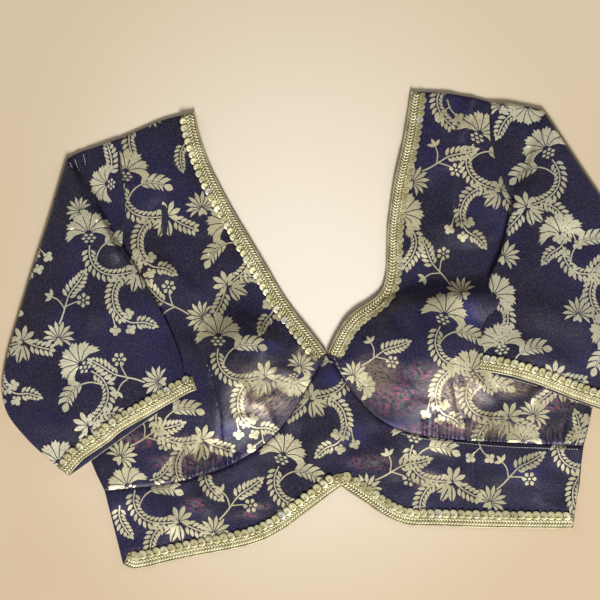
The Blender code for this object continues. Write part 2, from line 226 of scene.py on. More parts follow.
def side_from(name, start, end):
    """The stretch of a CAD node's outline from one corner to another, anticlockwise."""
    sides = outline_sides(name)
    first = int(np.argmin([np.linalg.norm(side[0] - start) for side in sides]))
    chain = [sides[first]]
    for step in range(1, len(sides)):
        if np.linalg.norm(chain[-1][-1] - end) < CORNER_REACH:
            break
        chain.append(sides[(first + step) % len(sides)][1:])
    return np.vstack(chain)


class Heights:
    """The height of a CAD node's upper (way 1) or lower (way -1) skin over the plan, smoothed."""

    STEP = 2.0
    MARGIN = 16.0
    FAR = 60.0
    ENOUGH, LITTLE = 0.02, 0.002    # how much known skin a blur needs under it to be used

    def __init__(self, name, way, blur, keep=None):
        points, triangles = solid_of(name)
        tree = tree_of(points, triangles)
        self.low = points.min(axis=0)[:2] - self.MARGIN
        places, self.shape = grid_places(self.low, points.max(axis=0)[:2] + self.MARGIN, self.STEP)
        hits = [tree.ray_cast(Vector((x, y, self.FAR * way)), Vector((0, 0, -way)))[0] for x, y in places]
        known = np.array([hit is not None for hit in hits], dtype=float)
        if keep is not None:
            known *= keep(places)
        found = np.array([0.0 if hit is None else hit.z for hit in hits]) * known
        grids = np.stack([found, known]).reshape(2, *self.shape)
        near, far, farther = (self.blurred(grids, blur * times) for times in (1, 3, 9))
        far = np.where(far[1] > self.LITTLE, far[0], farther[0])
        self.grid = np.where(near[1] > self.ENOUGH, near[0], far)

    def blurred(self, grids, sigma):
        reach = min(int(3 * sigma / self.STEP) + 1, (min(self.shape) - 1) // 2)
        weights = np.exp(-0.5 * (np.arange(-reach, reach + 1) * self.STEP / sigma) ** 2)
        weights /= weights.sum()
        for axis in (1, 2):
            grids = np.apply_along_axis(np.convolve, axis, grids, weights, "same")
        total, share = grids
        return total / np.maximum(share, 1e-6), share

    def __call__(self, places):
        spot = np.clip((places[:, :2] - self.low) / self.STEP, 0, self.shape - 1.001)
        i, j = spot.astype(int).T
        u, v = (spot % 1).T
        g = self.grid
        return ((1 - u) * (1 - v) * g[i, j] + u * (1 - v) * g[i + 1, j]
                + (1 - u) * v * g[i, j + 1] + u * v * g[i + 1, j + 1])


# -------- the woven pattern
# Shapes are lists of plan points in mm. Each motif is drawn upright round its base, the origin.

BASE = (0, 0)
UP = 90         # degrees
VEIN = 0.72     # dark line between two petals, mm


def polar(length, degrees):
    return length * math.cos(math.radians(degrees)), length * math.sin(math.radians(degrees))


def placed(points, base, degrees, size=1.0):
    """Points turned by some degrees, scaled, and moved from the origin to base."""
    c, s = polar(size, degrees)
    return [(base[0] + x * c - y * s, base[1] + x * s + y * c) for x, y in points]


def beyond(base, degrees, ahead, aside=0.0):
    """The point some way ahead of a base, and to its left."""
    return placed([(ahead, aside)], base, degrees)[0]


def leaf(base, degrees, length, width, curl=0.0, widest=0.45):
    """A pointed leaf that starts at its base and curls to its left."""
    right, left = [], []
    for index in range(1, 5):
        t = index / 5
        half = width / 2 * math.sin(math.pi * t ** (math.log(0.5) / math.log(widest))) ** 0.8
        spine = curl * t * t * length
        right.append((t * length, spine - half))
        left.append((t * length, spine + half))
    outline = [(0, 0), *right, (length, curl * length), *left[::-1]]
    return placed(outline, base, degrees)


def disc(centre, radius, corners=8):
    return placed([polar(radius, 360 * k / corners) for k in range(corners)], centre, 0)


def ways_along(points, pitch):
    """Points about a pitch apart on a smooth curve, each with its direction in degrees."""
    line = smoothed(points, pitch)
    way = np.gradient(line, axis=0)
    return [(x, y, math.degrees(math.atan2(dy, dx))) for (x, y), (dx, dy) in zip(line, way)]


def stem(points, width=1.0):
    left, right = [], []
    for x, y, way in ways_along(points, 2.6):
        dx, dy = polar(width / 2, way + 90)
        left.append((x + dx, y + dy))
        right.append((x - dx, y - dy))
    return [right + left[::-1]]


def fern(points, pitch=3.9, length=6.9, width=3.1, bare=0.0, tip=0.45):
    """A curved stem with a row of small leaves down each side, and thin ground between them."""
    shapes = stem(points, 1.2)
    spots = ways_along(points, pitch)
    for index, (x, y, way) in enumerate(spots[1:], 1):
        t = index / (len(spots) - 1)
        if t < bare:
            continue
        long = length * (1 - (1 - tip) * max(0, (t - 0.55) / 0.45) ** 1.5)
        bend = (spots[min(index + 1, len(spots) - 1)][2] - spots[index - 1][2] + 180) % 360 - 180
        for side in (1, -1):
            dx, dy = polar(1.1, way + side * 90)
            share = 1 - 0.012 * max(0, bend * side)
            shapes.append(leaf((x + dx, y + dy), way + side * 60, long * share, width * share,
                               -side * 0.16, 0.5))
    x, y, way = spots[-1]
    shapes.append(leaf((x, y), way, length * 0.8, width))
    return shapes


# Across a petal's rim from one side to the other: share of its half width, and of its reach.
BROAD_RIM = ((-1.0, 0.86), (-0.7, 0.99), (-0.45, 0.91), (-0.1, 1.08), (0.2, 0.95), (0.6, 1.02), (1.0, 0.86))
SHARP_RIM = ((-1.0, 0.76), (-0.55, 0.94), (0.0, 1.14), (0.55, 0.94), (1.0, 0.76))
SIDE_SHARES = (0.16, 0.36, 0.6)     # the points up a petal's side, as shares of its reach


def petals(base, degrees, count, spread, reach, side_reach, droop, rim, vein=VEIN):
    """A half-round flower: petals that droop to its sides, with a thin dark vein between each two."""
    shapes = []
    step = 2 * spread / count
    for index in range(count):
        middle = -spread + step * (index + 0.5)
        long = reach + (side_reach - reach) * (abs(middle) / spread) ** 2

        def point(share, aside):
            return polar(long * share, (middle + aside) * (1 + droop * share ** 2))

        shares = (*SIDE_SHARES, rim[0][1])
        halves = [max(step / 2 - math.degrees(vein / 2 / (long * share)), 1.5) for share in shares]
        widest = step / 2 - math.degrees(vein / 2 / long)
        outline = [point(share, -half) for share, half in zip(shares, halves)]
        outline += [point(share, across * widest) for across, share in rim[1:-1]]
        outline += [point(share, half) for share, half in zip(shares, halves)][::-1]
        shapes.append(placed(outline, base, degrees))
    return shapes


# A fan's calyx: how far back from its base a row of diamonds lies, and where they are across it.
CALYX = ((1.2, (-2.3, 2.3)), (3.9, (-4.6, 0, 4.6)), (6.6, (-2.3, 2.3)))
DIAMOND = ((1.35, 0), (0, 2.0), (-1.35, 0), (0, -2.0))


def fan():
    """A wide fan of toothed petals with dark veins between them, over a calyx of diamonds."""
    shapes = petals(BASE, UP, 7, 86, 18.5, 20.0, 0.34, BROAD_RIM)
    for back, asides in CALYX:
        shapes += [placed(DIAMOND, beyond(BASE, UP, -back, aside), UP) for aside in asides]
    return shapes


def lotus():
    """A spiky bud of sharp petals that opens away from its base."""
    heart = beyond(BASE, UP, 4.0)
    shapes = petals(heart, UP, 10, 106, 14.0, 10.0, 0.16, SHARP_RIM, 0.7)
    shapes += [leaf(heart, UP + spread, 6.5, 3.4, 0.0, 0.5) for spread in (-148, 148)]
    shapes += stem([BASE, heart], 1.4)
    shapes.append(disc(heart, 1.4, 7))
    return shapes


def split_leaf(base, degrees, length, width):
    """A broad petal in two halves, with a thin dark vein between them."""
    halves = []
    for side in (-1, 1):
        outer = [(t * length, side * width / 2 * math.sin(math.pi * t ** 1.25) ** 0.7)
                 for t in (0.25, 0.45, 0.65, 0.82)]
        tip = (length, side * (VEIN / 2 + 0.3))
        halves.append(placed([(0.6, side * VEIN / 2), *outer, tip], base, degrees))
    return halves


def lily(centre, degrees):
    """Five narrow petals one way, and three broad split ones hanging the other way."""
    shapes = []
    for spread, long in ((-84, 9.5), (-42, 12.0), (-4, 13.0), (36, 12.0), (80, 9.5)):
        way = degrees + spread
        shapes.append(leaf(beyond(centre, way, 0.9), way, long, 4.3, 0.0, 0.62))
    for spread, long in ((148, 13.5), (176, 16.5), (204, 14.5)):
        way = degrees + spread
        shapes += split_leaf(beyond(centre, way, 2.6), way, long, 6.4)
    return shapes


# A leaflet's two edges: the inset of its foot, then the points up it, as shares of its length.
LEAFLET_EDGES = ((VEIN / 2, (0, 0.35, 0.7, 0.9)), (-VEIN / 2, (0.84, 0.6, 0.3, 0)))
LEAFLETS = 4            # on each side of the rib


def compound(points):
    """A curved rib between broad leaflets with a notch between their tips, and one at its end."""
    shapes = stem(points, 1.1)
    spots = ways_along(points, 1.0)
    marks = [spots[round(value)] for value in np.linspace(0.5 * len(spots), len(spots) - 1, LEAFLETS + 1)]
    for index, (near, far) in enumerate(zip(marks, marks[1:])):
        long = 10.2 - 0.9 * abs(index - 1.4)
        for side in (1, -1):
            outline = []
            for (x, y, way), (inset, shares) in zip((near, far), LEAFLET_EDGES):
                foot = beyond((x, y), way, inset, side * 0.95)
                for share in shares:
                    turn = 62 - 20 * share + (9 * share if inset < 0 else -3 * share)
                    dx, dy = polar(long * share, way + side * turn)
                    outline.append((foot[0] + dx, foot[1] + dy))
                if inset > 0:
                    dx, dy = polar(long * 1.06, (way + far[2]) / 2 + side * 44)
                    outline.append(((near[0] + far[0]) / 2 + dx, (near[1] + far[1]) / 2 + dy))
            shapes.append(outline)
    x, y, way = spots[-1]
    shapes.append(leaf((x, y), way, 9.0, 6.0, 0.0, 0.55))
    return shapes


def trefoil(centre, degrees):
    shapes = [disc(centre, 1.2, 6)]
    for spread, radius in ((0, 2.2), (88, 2.2), (-88, 2.2), (180, 1.5)):
        shapes.append(disc(beyond(centre, degrees + spread, 2.7), radius))
    return shapes


def rosette(centre):
    shapes = [disc(centre, 1.2, 6)]
    for way in range(30, 390, 60):
        shapes.append(leaf(beyond(centre, way, 1.9), way, 4.4, 3.4, 0.0, 0.6))
    return shapes


def spray(with_lily=True):
    """A fan flower with its winding stem, a compound leaf, a lily and a branch of small flowers."""
    shapes = fan()
    shapes += fern([(0, -10), (-0.5, -19), (3, -28), (11, -34.5), (22, -36.5), (34, -35)], tip=0.9)
    shapes += compound([(3.5, -26), (8, -15), (16, -8.5), (27, -6.5), (33, -8)])
    if with_lily:
        shapes += lily((39, -33.5), 78)
    shapes += fern([(27, -37), (20, -44), (16.5, -54), (18, -65), (23, -73)], tip=0.7)
    shapes += stem([(17.5, -64), (16, -72), (17, -79)])
    for spot, turn in (((17, -83), 265), ((29, -70), 10), ((30, -83), -60)):
        shapes += trefoil(spot, turn)
    shapes += fern([(23, -73), (31, -77.5), (41, -78), (49, -81)], 3.7, 6.4, 2.9, 0.4, 0.4)
    shapes += fern([(43, -35), (52, -39), (62, -42)], tip=0.8)
    return shapes


def sprig():
    """A spiky bud with a stem that parts into a twig of three leaves, a fern and a rosette."""
    shapes = lotus()
    shapes += stem([(0, 17), (3, 25), (5, 33)], 1.3)
    shapes += stem([(4.5, 30), (-1, 37), (-7, 40)])
    shapes += [leaf((-7, 40), way, 7.0, 3.0) for way in (100, 160, 215)]
    shapes += fern([(5, 33), (8, 43), (15, 53), (19, 60)], 3.9, 7.4, 3.2, 0.2, 0.4)
    shapes += stem([(5, 32), (13, 36), (17, 37)])
    shapes += rosette((20, 38))
    return shapes


def buds():
    """Two trefoils on a forked stem."""
    shapes = stem([BASE, (-3, 8), (-8, 13)]) + stem([(-2, 6), (4, 12)])
    return shapes + trefoil((-10, 15), 130) + trefoil((6, 15), 50)


MOTIFS = {
    "spray": spray(),
    "short_spray": spray(with_lily=False),
    "sprig": sprig(),
    "fan": fan(),
    "bud": lotus(),
    "fern": fern([BASE, (2, 9), (0, 18), (-4, 26)], bare=0.1, tip=0.4),
    "vine": fern([BASE, (6, 8), (7, 18), (2, 28), (-5, 35)], tip=0.8),
    "buds": buds(),
}


def woven(motif, place, turn=0.0, size=1.0):
    """A motif's shapes with its base at a plan place, mirrored where the size is negative."""
    flip = math.copysign(1, size)
    return [placed([(x * flip, y) for x, y in shape], place, turn, abs(size)) for shape in MOTIFS[motif]]


# -------- materials

def colour(red, green, blue):
    """An sRGB colour of 0-255 values, as Blender's linear one."""
    linear = []
    for value in (red, green, blue):
        share = value / 255
        linear.append(share / 12.92 if share <= 0.04045 else ((share + 0.055) / 1.055) ** 2.4)
    return (*linear, 1.0)


class Surface:
    """A material in the making: its shader, and short names for the nodes that feed it."""

    def __init__(self, name, roughness, metallic=0.0, **settings):
        self.material = bpy.data.materials.new(name)
        self.material.use_nodes = True
        self.tree = self.material.node_tree
        self.shader = self.tree.nodes["Principled BSDF"]
        for key, value in dict(settings, Roughness=roughness, Metallic=metallic).items():
            self.shader.inputs[key.replace("_", " ")].default_value = value
        self.place = self.node("TexCoord").outputs["Object"]

    def node(self, kind, settings=None, **inputs):
        """A shader node: its settings, and its inputs by name, or by i and number."""
        made = self.tree.nodes.new("ShaderNode" + kind)
        for name, value in (settings or {}).items():
            setattr(made, name, value)
        for name, value in inputs.items():
            socket = made.inputs[int(name[1:])] if name[0] == "i" else made.inputs[name.replace("_", " ")]
            if isinstance(value, bpy.types.NodeSocket):
                self.tree.links.new(value, socket)
            else:
                socket.default_value = value
        return made

    def feed(self, name, value):
        self.tree.links.new(value, self.shader.inputs[name])

    def blend(self, factor, first, second):
        return self.node("Mix", {"data_type": "RGBA"}, i0=factor, i6=first, i7=second).outputs[2]

    def tinted(self, base, mask, strength, *tone):
        """A colour with a tone over it where a mask is, at some strength."""
        return self.blend(self.times(mask, strength), base, colour(*tone))

    def combined(self, how, first, second):
        return self.node("Math", {"operation": how}, i0=first, i1=second).outputs[0]

    def times(self, first, second):
        return self.combined("MULTIPLY", first, second)

    def plus(self, first, second):
        return self.combined("ADD", first, second)

    def shifted(self, how, place, step):
        return self.node("VectorMath", {"operation": how}, i0=place, i1=step).outputs[0]

    def size_of(self, offset):
        return self.node("VectorMath", {"operation": "LENGTH"}, i0=offset).outputs[1]

    def ranged(self, value, low, high, to_low=0.0, to_high=1.0):
        return self.node("MapRange", {"interpolation_type": "SMOOTHSTEP"}, Value=value, From_Min=low,
                         From_Max=high, To_Min=to_low, To_Max=to_high).outputs[0]

    def noise(self, per_metre, detail=2.0, roughness=0.5, place=None):
        return self.node("TexNoise", Vector=place or self.place, Scale=per_metre, Detail=detail,
                         Roughness=roughness).outputs["Fac"]

    def threads(self, pitch, turn=0.0):
        """Parallel threads across the plan, 0 to 1, with a pitch in metres."""
        turned = self.node("Mapping", Vector=self.place, Rotation=(0, 0, math.radians(turn))).outputs[0]
        settings = {"wave_type": "BANDS", "bands_direction": "X"}
        return self.node("TexWave", settings, Vector=turned, Scale=math.tau / (20 * pitch)).outputs["Fac"]

    def along(self, degrees, squeeze):
        """Coordinates that draw a texture out along a direction in the plan."""
        turn = (0, 0, math.radians(-degrees))
        turned = self.node("Mapping", Vector=self.place, Rotation=turn).outputs[0]
        return self.node("Mapping", Vector=turned, Scale=(squeeze, 1.0, 1.0)).outputs[0]

    def patches(self, spots, soft):
        """A mask of soft ellipses over the plan."""
        mask = 0.0
        for px, py, half_width, half_height in spots:
            x, y = at(px, py)
            moved = self.shifted("SUBTRACT", self.place, (x * MM, y * MM, 0))
            scaled = self.shifted("MULTIPLY", moved, (1 / (half_width * MM), 1 / (half_height * MM), 0))
            mask = self.combined("MAXIMUM", self.ranged(self.size_of(scaled), 1.0, soft), mask)
        return mask

    def bumped(self, height, strength, distance):
        bump = self.node("Bump", Height=height, Strength=strength, Distance=distance)
        self.feed("Normal", bump.outputs[0])


# Patches of painted light and shade on the silk: painted pink and green reflections, painted gold sheen in
# streaks over its gold thread, painted bluer sheen, and painted highlights and painted shade in the gathers:
# photo x and y, then half the width and height in mm.
PAINTED_REFLECTION_PATCHES = (
    (180, 462, 36, 10), (135, 440, 26, 10), (398, 396, 40, 24), (440, 428, 60, 9),
    (550, 404, 36, 10), (372, 462, 32, 9), (313, 512, 22, 7), (420, 372, 32, 14),
    (248, 514, 14, 5), (260, 506, 14, 5), (195, 505, 16, 9), (140, 552, 14, 6),
)
PAINTED_GOLD_SHEEN_PATCHES = (
    (264, 394, 40, 36), (196, 446, 30, 14), (455, 392, 40, 34), (512, 388, 30, 12),
    (500, 428, 60, 12), (308, 352, 18, 10), (376, 376, 30, 24), (428, 480, 18, 12),
)
PAINTED_BLUE_SHEEN_PATCHES = (
    (226, 430, 16, 11), (330, 378, 14, 12), (262, 346, 34, 9), (468, 318, 14, 22), (352, 436, 22, 14),
    (398, 424, 20, 8), (186, 512, 16, 12), (520, 470, 26, 14),
)
GATHER_LIGHT_AND_SHADE_PATCHES = ((470, 424, 36, 13), (208, 448, 26, 16), (560, 434, 16, 12))


def painted_sheen_and_shade(silk, base):
    """Painted light and shade over the silk's ground colour: painted gold sheen in streaks, painted pink and
    green reflections, and painted highlights and shade in the gathers.
    """
    east = silk.ranged(silk.node("SeparateXYZ", Vector=silk.place).outputs["X"], -0.001, 0.001)
    west_streak, east_streak = (silk.noise(900, 3, 0.75, silk.along(turn, 0.16)) for turn in (38, -24))
    streak = silk.plus(silk.times(east_streak, east),
                       silk.times(west_streak, silk.combined("SUBTRACT", 1.0, east)))
    # Painted sheen: a bluer tone in patches where the silk catches the light.
    base = silk.tinted(base, silk.patches(PAINTED_BLUE_SHEEN_PATCHES, 0.0), 0.4, 52, 54, 122)
    # Painted sheen where the silk faces the light: a bluer tone, and streaks of gold thread painted light
    # gold and made more metallic.
    gold_sheen_mask = silk.patches(PAINTED_GOLD_SHEEN_PATCHES, 0.0)
    base = silk.tinted(base, gold_sheen_mask, 0.5, 60, 55, 100)
    wrinkle = silk.ranged(silk.noise(60, 3, 0.6), 0.22, 0.50)
    weft_sheen = silk.times(silk.ranged(streak, 0.38, 0.6), silk.times(gold_sheen_mask, wrinkle))
    base = silk.tinted(base, weft_sheen, 0.85, 192, 168, 130)
    # Painted reflections: pink and green flecks of sheen in patches.
    short = silk.along(-24, 0.65)
    flecks = silk.ranged(silk.noise(330, 4, 0.8, short), 0.4, 0.58)
    mask = silk.times(silk.patches(PAINTED_REFLECTION_PATCHES, 0.1), flecks)
    hue = silk.noise(420, 3, 0.7, short)
    shine = silk.blend(silk.ranged(hue, 0.40, 0.48), colour(92, 124, 92), colour(122, 104, 112))
    shine = silk.blend(silk.ranged(hue, 0.51, 0.60), shine, colour(196, 100, 138))
    base = silk.blend(silk.times(mask, 0.78), base, shine)
    # Painted highlight and painted shade in the gathers: pink streaks painted light, near-black streaks
    # painted shade.
    gather_shading_mask = silk.patches(GATHER_LIGHT_AND_SHADE_PATCHES, 0.2)
    pleat = silk.noise(330, 2, 0.6, silk.along(88, 0.12))
    base = silk.tinted(base, gather_shading_mask, silk.ranged(pleat, 0.52, 0.62, 0.0, 0.6), 176, 132, 134)
    base = silk.tinted(base, gather_shading_mask, silk.ranged(pleat, 0.46, 0.38, 0.0, 0.8), 12, 10, 24)
    return base, weft_sheen


def silk_ground(name, with_painted_sheen):
    """Navy silk, darker and browner in places, with a fine speckle of the gold floats under it."""
    silk = Surface(name, 0.38, Sheen_Weight=0.03, Sheen_Roughness=0.4, Sheen_Tint=colour(120, 110, 215),
                   Specular_IOR_Level=0.35)
    base = silk.blend(silk.ranged(silk.noise(16, 3), 0.35, 0.68), colour(24, 22, 48), colour(34, 31, 72))
    base = silk.tinted(base, silk.ranged(silk.noise(9), 0.48, 0.70), 0.4, 30, 25, 34)
    speckle = silk.ranged(silk.noise(1150, 1, 0.7), 0.5, 0.74)
    base = silk.tinted(base, speckle, 0.55, 132, 122, 116)
    metal = silk.times(speckle, 0.8)
    # Only the body's silk has the painted sheen, reflections and shade.
    if with_painted_sheen:
        base, weft_sheen = painted_sheen_and_shade(silk, base)
        metal = silk.combined("MAXIMUM", metal, silk.times(weft_sheen, 0.7))
    silk.feed("Metallic", metal)
    silk.feed("Base Color", base)
    weave = silk.times(silk.threads(0.00045, 8), silk.threads(0.0005, 98))
    height = silk.plus(silk.times(weave, 0.10), silk.times(silk.noise(55, 3), 0.9))
    silk.bumped(height, 0.5, 0.0011)
    return silk.material


def zari_weave(name, low, high):
    """Pale gold thread woven in a twill, duller and browner here and there."""
    zari = Surface(name, 0.5, 0.5, Specular_IOR_Level=0.4)
    base = zari.blend(zari.ranged(zari.noise(30), 0.35, 0.65), colour(*low), colour(*high))
    twill = zari.threads(0.0013, 30)
    base = zari.tinted(base, twill, 0.34, 116, 106, 76)
    base = zari.tinted(base, zari.ranged(zari.noise(620, 2, 0.8), 0.50, 0.68), 0.42, 86, 80, 78)
    zari.feed("Base Color", base)
    zari.bumped(zari.plus(zari.times(twill, 0.3), zari.noise(60, 3)), 0.4, 0.0009)
    return zari.material


def lining_cotton():
    cotton = Surface("lining", 0.85, Sheen_Weight=0.15)
    cotton.feed("Base Color", cotton.blend(cotton.noise(25, 3), colour(24, 22, 44), colour(36, 33, 60)))
    cotton.bumped(cotton.times(cotton.threads(0.0006), cotton.threads(0.0006, 90)), 0.4, 0.0002)
    return cotton.material


def gold(name, low, high, roughness, metallic, grain, strength=0.4):
    """Metal thread or foil: two gold tones in patches, and a fine grain."""
    metal = Surface(name, roughness, metallic, Specular_IOR_Level=0.6)
    patchy = metal.ranged(metal.noise(130), 0.4, 0.62)
    metal.feed("Base Color", metal.blend(patchy, colour(*low), colour(*high)))
    metal.bumped(metal.noise(grain), strength, 0.0004)
    return metal.material


def make_materials():
    return {
        "ground": silk_ground("silk_ground", True),
        "ground_sleeve": silk_ground("silk_ground_sleeve", False),
        # Two copies of one zari thread: the body's painted darker as painted shade, the sleeves' and backs'
        # painted lighter as painted light.
        "zari": zari_weave("zari_weave", (208, 200, 162), (240, 231, 192)),
        "zari_sleeve_painted_lighter": zari_weave("zari_weave_sleeve_painted_lighter", (220, 215, 184), (246, 240, 208)),
        "lining": lining_cotton(),
        "tape": gold("braid_tape", (128, 118, 80), (158, 148, 106), 0.6, 0.3, 900),
        "cord": gold("braid_cord", (216, 208, 164), (240, 233, 196), 0.4, 0.4, 1500),
        "stitch": gold("braid_stitch", (188, 179, 130), (222, 213, 166), 0.4, 0.5, 1500),
        "piping": gold("braid_piping", (160, 151, 116), (188, 180, 144), 0.55, 0.3, 1100),
        "sequin": gold("sequin_gold", (196, 187, 138), (222, 213, 166), 0.46, 0.4, 300, 0.1),
        "sequin_pale": gold("sequin_pale", (214, 208, 168), (236, 230, 194), 0.38, 0.4, 300, 0.1),
        "sequin_white": gold("sequin_silver", (232, 228, 212), (250, 247, 236), 0.25, 0.5, 300, 0.1),
        # Near-black cord filling the armhole seams' gaps: painted shade.
        "seam_shade_cord": gold("seam_gap_shade", (16, 14, 30), (26, 23, 44), 0.8, 0.0, 1500),
        "thread": gold("light_thread", (172, 170, 168), (212, 208, 196), 0.6, 0.0, 1500),
    }


# -------- pieces

def add_object(name, data, place=(0, 0, 0)):
    made = bpy.data.objects.new(name, data)
    bpy.context.scene.collection.objects.link(made)
    made.location = place
    return made


def add_piece(name, points, faces, materials, slots):
    """A mesh object from points in mm, riding on the blouse's one body."""
    mesh = bpy.data.meshes.new(name)
    mesh.from_pydata([(x * MM, y * MM, max(z, FLOOR_GAP) * MM) for x, y, z in points], [], faces)
    for material in materials:
        mesh.materials.append(material)
    mesh.polygons.foreach_set("material_index", np.array(slots, dtype=np.int32))
    mesh.polygons.foreach_set("use_smooth", np.ones(len(mesh.polygons), dtype=bool))
    mesh.validate()
    mesh.update()
    piece = add_object(name, mesh)
    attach(piece, "root")
    return piece


def sheet(name, points, faces, materials, slots):
    """A sheet of brocade with its lining, which stands for a CAD node."""
    piece = add_piece("sheet_" + name, points, faces, materials, slots)
    wall = piece.modifiers.new("wall", "SOLIDIFY")
    wall.thickness = CLOTH * MM
    wall.offset = -1
    wall.material_offset = 2
    wall.material_offset_rim = 2
    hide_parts(name)
    return piece


# -------- folds in the cloth

SHARP = 2.0             # a fold narrower than this, in mm, has rows of mesh points along it
SHARP_ROWS = (-2.4, -1.2, -0.5, 0, 0.5, 1.2, 2.4)


class Fold:
    """A soft ridge, or a trough where height is negative, along a plan line."""

    STEP = 3.0
    FADE = 0.35         # share of its length over which a fold rises and falls

    def __init__(self, height, left, right, *pixels, start=0.0, end=0.0):
        self.line = curve_at(pixels, self.STEP)
        self.height, self.left, self.right = height, left, right
        self.start, self.end = start, end

    def __call__(self, places):
        gap, along = nearest_on(self.line, places)
        t = along / lengths_along(self.line)[-1]
        level = self.faded(t, self.start) * self.faded(1 - t, self.end)
        width = np.where(gap > 0, self.left, self.right)
        return self.height * level * np.exp(-0.5 * (gap / width) ** 2)

    def faded(self, t, at_end):
        rise = np.clip(t / self.FADE, 0, 1)
        return at_end + (1 - at_end) * rise ** 2 * (3 - 2 * rise)

    def rows(self, *more):
        """The lines of mesh points that a sharp fold needs."""
        return beside(self.line, *SHARP_ROWS, *more) if min(self.left, self.right) < SHARP else []


WAVES = 5


def ripple(places, seed, size, height):
    """Gentle unevenness of the silk: a few slow waves in different directions."""
    x, y = places.T
    total = np.zeros(len(places))
    for index in range(WAVES):
        way = seed * 1.7 + index * 2.4
        pitch = size * (0.75 + 0.17 * ((seed * 3 + index * 5) % 4))
        bent = seed * 2.1 + index * 1.3 + 1.2 * np.sin(x / size * 1.9 + index)
        total += np.sin((x * math.cos(way) + y * math.sin(way)) * math.tau / pitch + bent)
    return total * height / WAVES


# -------- sheets of brocade

class Region:
    """The inside of a plan loop, and how far a place is from the loop."""

    STEP = 1.0

    def __init__(self, loop):
        self.loop = anticlockwise(loop)
        self.low, self.high = self.loop.min(axis=0), self.loop.max(axis=0)
        places, counts = grid_places(self.low, self.high, self.STEP)
        self.mask = inside(self.loop, places).reshape(counts)
        self.gap = gap_finder(resampled(closed(self.loop), DOT_STEP))

    def holds(self, places):
        """Which places lie inside, to about a millimetre."""
        cell = np.round((places - self.low) / self.STEP).astype(int)
        good = ((cell >= 0) & (cell < self.mask.shape)).all(axis=1)
        cell = np.clip(cell, 0, np.array(self.mask.shape) - 1)
        return good & self.mask[cell[:, 0], cell[:, 1]]

    def meets(self, shape):
        near = (shape.max(axis=0) > self.low).all() and (shape.min(axis=0) < self.high).all()
        return near and self.holds(shape).any()


EDGE_CLEAR = 0.35       # how far the points inside a sheet stay off its edge, mm
ROW_STEP = 0.87         # between the staggered rows of those points, as a share of their spacing
INSIDE = 1              # the triangulation's choice of what it gives back: what lies in an outline
SAME_PLACE = 1e-3       # points this near to each other become one, mm


def grid_points(region, step, extra):
    """Points of a staggered grid inside a region and a little off its edge, and extra ones."""
    low, high = region.low, region.high
    rows = []
    for index, y in enumerate(np.arange(low[1], high[1], step * ROW_STEP)):
        xs = np.arange(low[0] + (index % 2) * step / 2, high[0], step)
        rows.append(np.stack([xs, np.full(len(xs), y)], axis=1))
    places = np.vstack(rows + extra)
    places = places[region.holds(places)]
    return places[region.gap(places) > EDGE_CLEAR]


def facing(points, triangles, way):
    """The triangles wound so that they face up (way 1) or down (way -1)."""
    a, b, c = (points[triangles[:, corner]] for corner in range(3))
    ahead, aside = (b - a).T, (c - a).T
    right = (ahead[0] * aside[1] - ahead[1] * aside[0]) * way > 0
    return np.where(right[:, None], triangles, triangles[:, [0, 2, 1]])


def cut(region, shapes, extra, way):
    """The region cut along the shapes: plan points, triangles that face way, and in-shape flags."""
    shapes = [np.array(shape) for shape in shapes]
    outlines = [region.loop, *(anticlockwise(shape) for shape in shapes if region.meets(shape))]
    faces, count = [], 0
    for outline in outlines:
        faces.append(list(range(count, count + len(outline))))
        count += len(outline)
    grid = grid_points(region, MESH_STEP if way > 0 else BACK_STEP, extra)
    verts = [Vector(point) for point in np.vstack([*outlines, grid])]
    points, _, triangles, _, _, sources = geometry.delaunay_2d_cdt(
        verts, [], faces, INSIDE, SAME_PLACE, True)
    kept = [(triangle, source) for triangle, source in zip(triangles, sources) if 0 in source]
    used, corners = np.unique([triangle for triangle, _ in kept], return_inverse=True)
    places = np.array([points[index][:] for index in used])
    flags = [int(len(source) > 1) for _, source in kept]
    return places, facing(places, corners.reshape(-1, 3), way), flags


# -------- sleeves

SLEEVE_FOLD = 3.2       # radius of the fold at a sleeve's two edges, mm
LEAST_ROOM = 2.4        # between a sleeve's two layers, mm
SKIN_FROM = 3.0         # how far in from the folds the CAD model's heights are taken, mm
SLEEVE_ROWS = (0.5, -0.5, 1.2, -1.2, 2.2, -2.2, 3.4, -3.4)  # rows of mesh points beside a fold, mm
WELD = 0.02             # points of the two layers this near to each other become one, mm
SHOULDER_TIP = 3        # the outer fold's point where it turns the corner at the shoulder

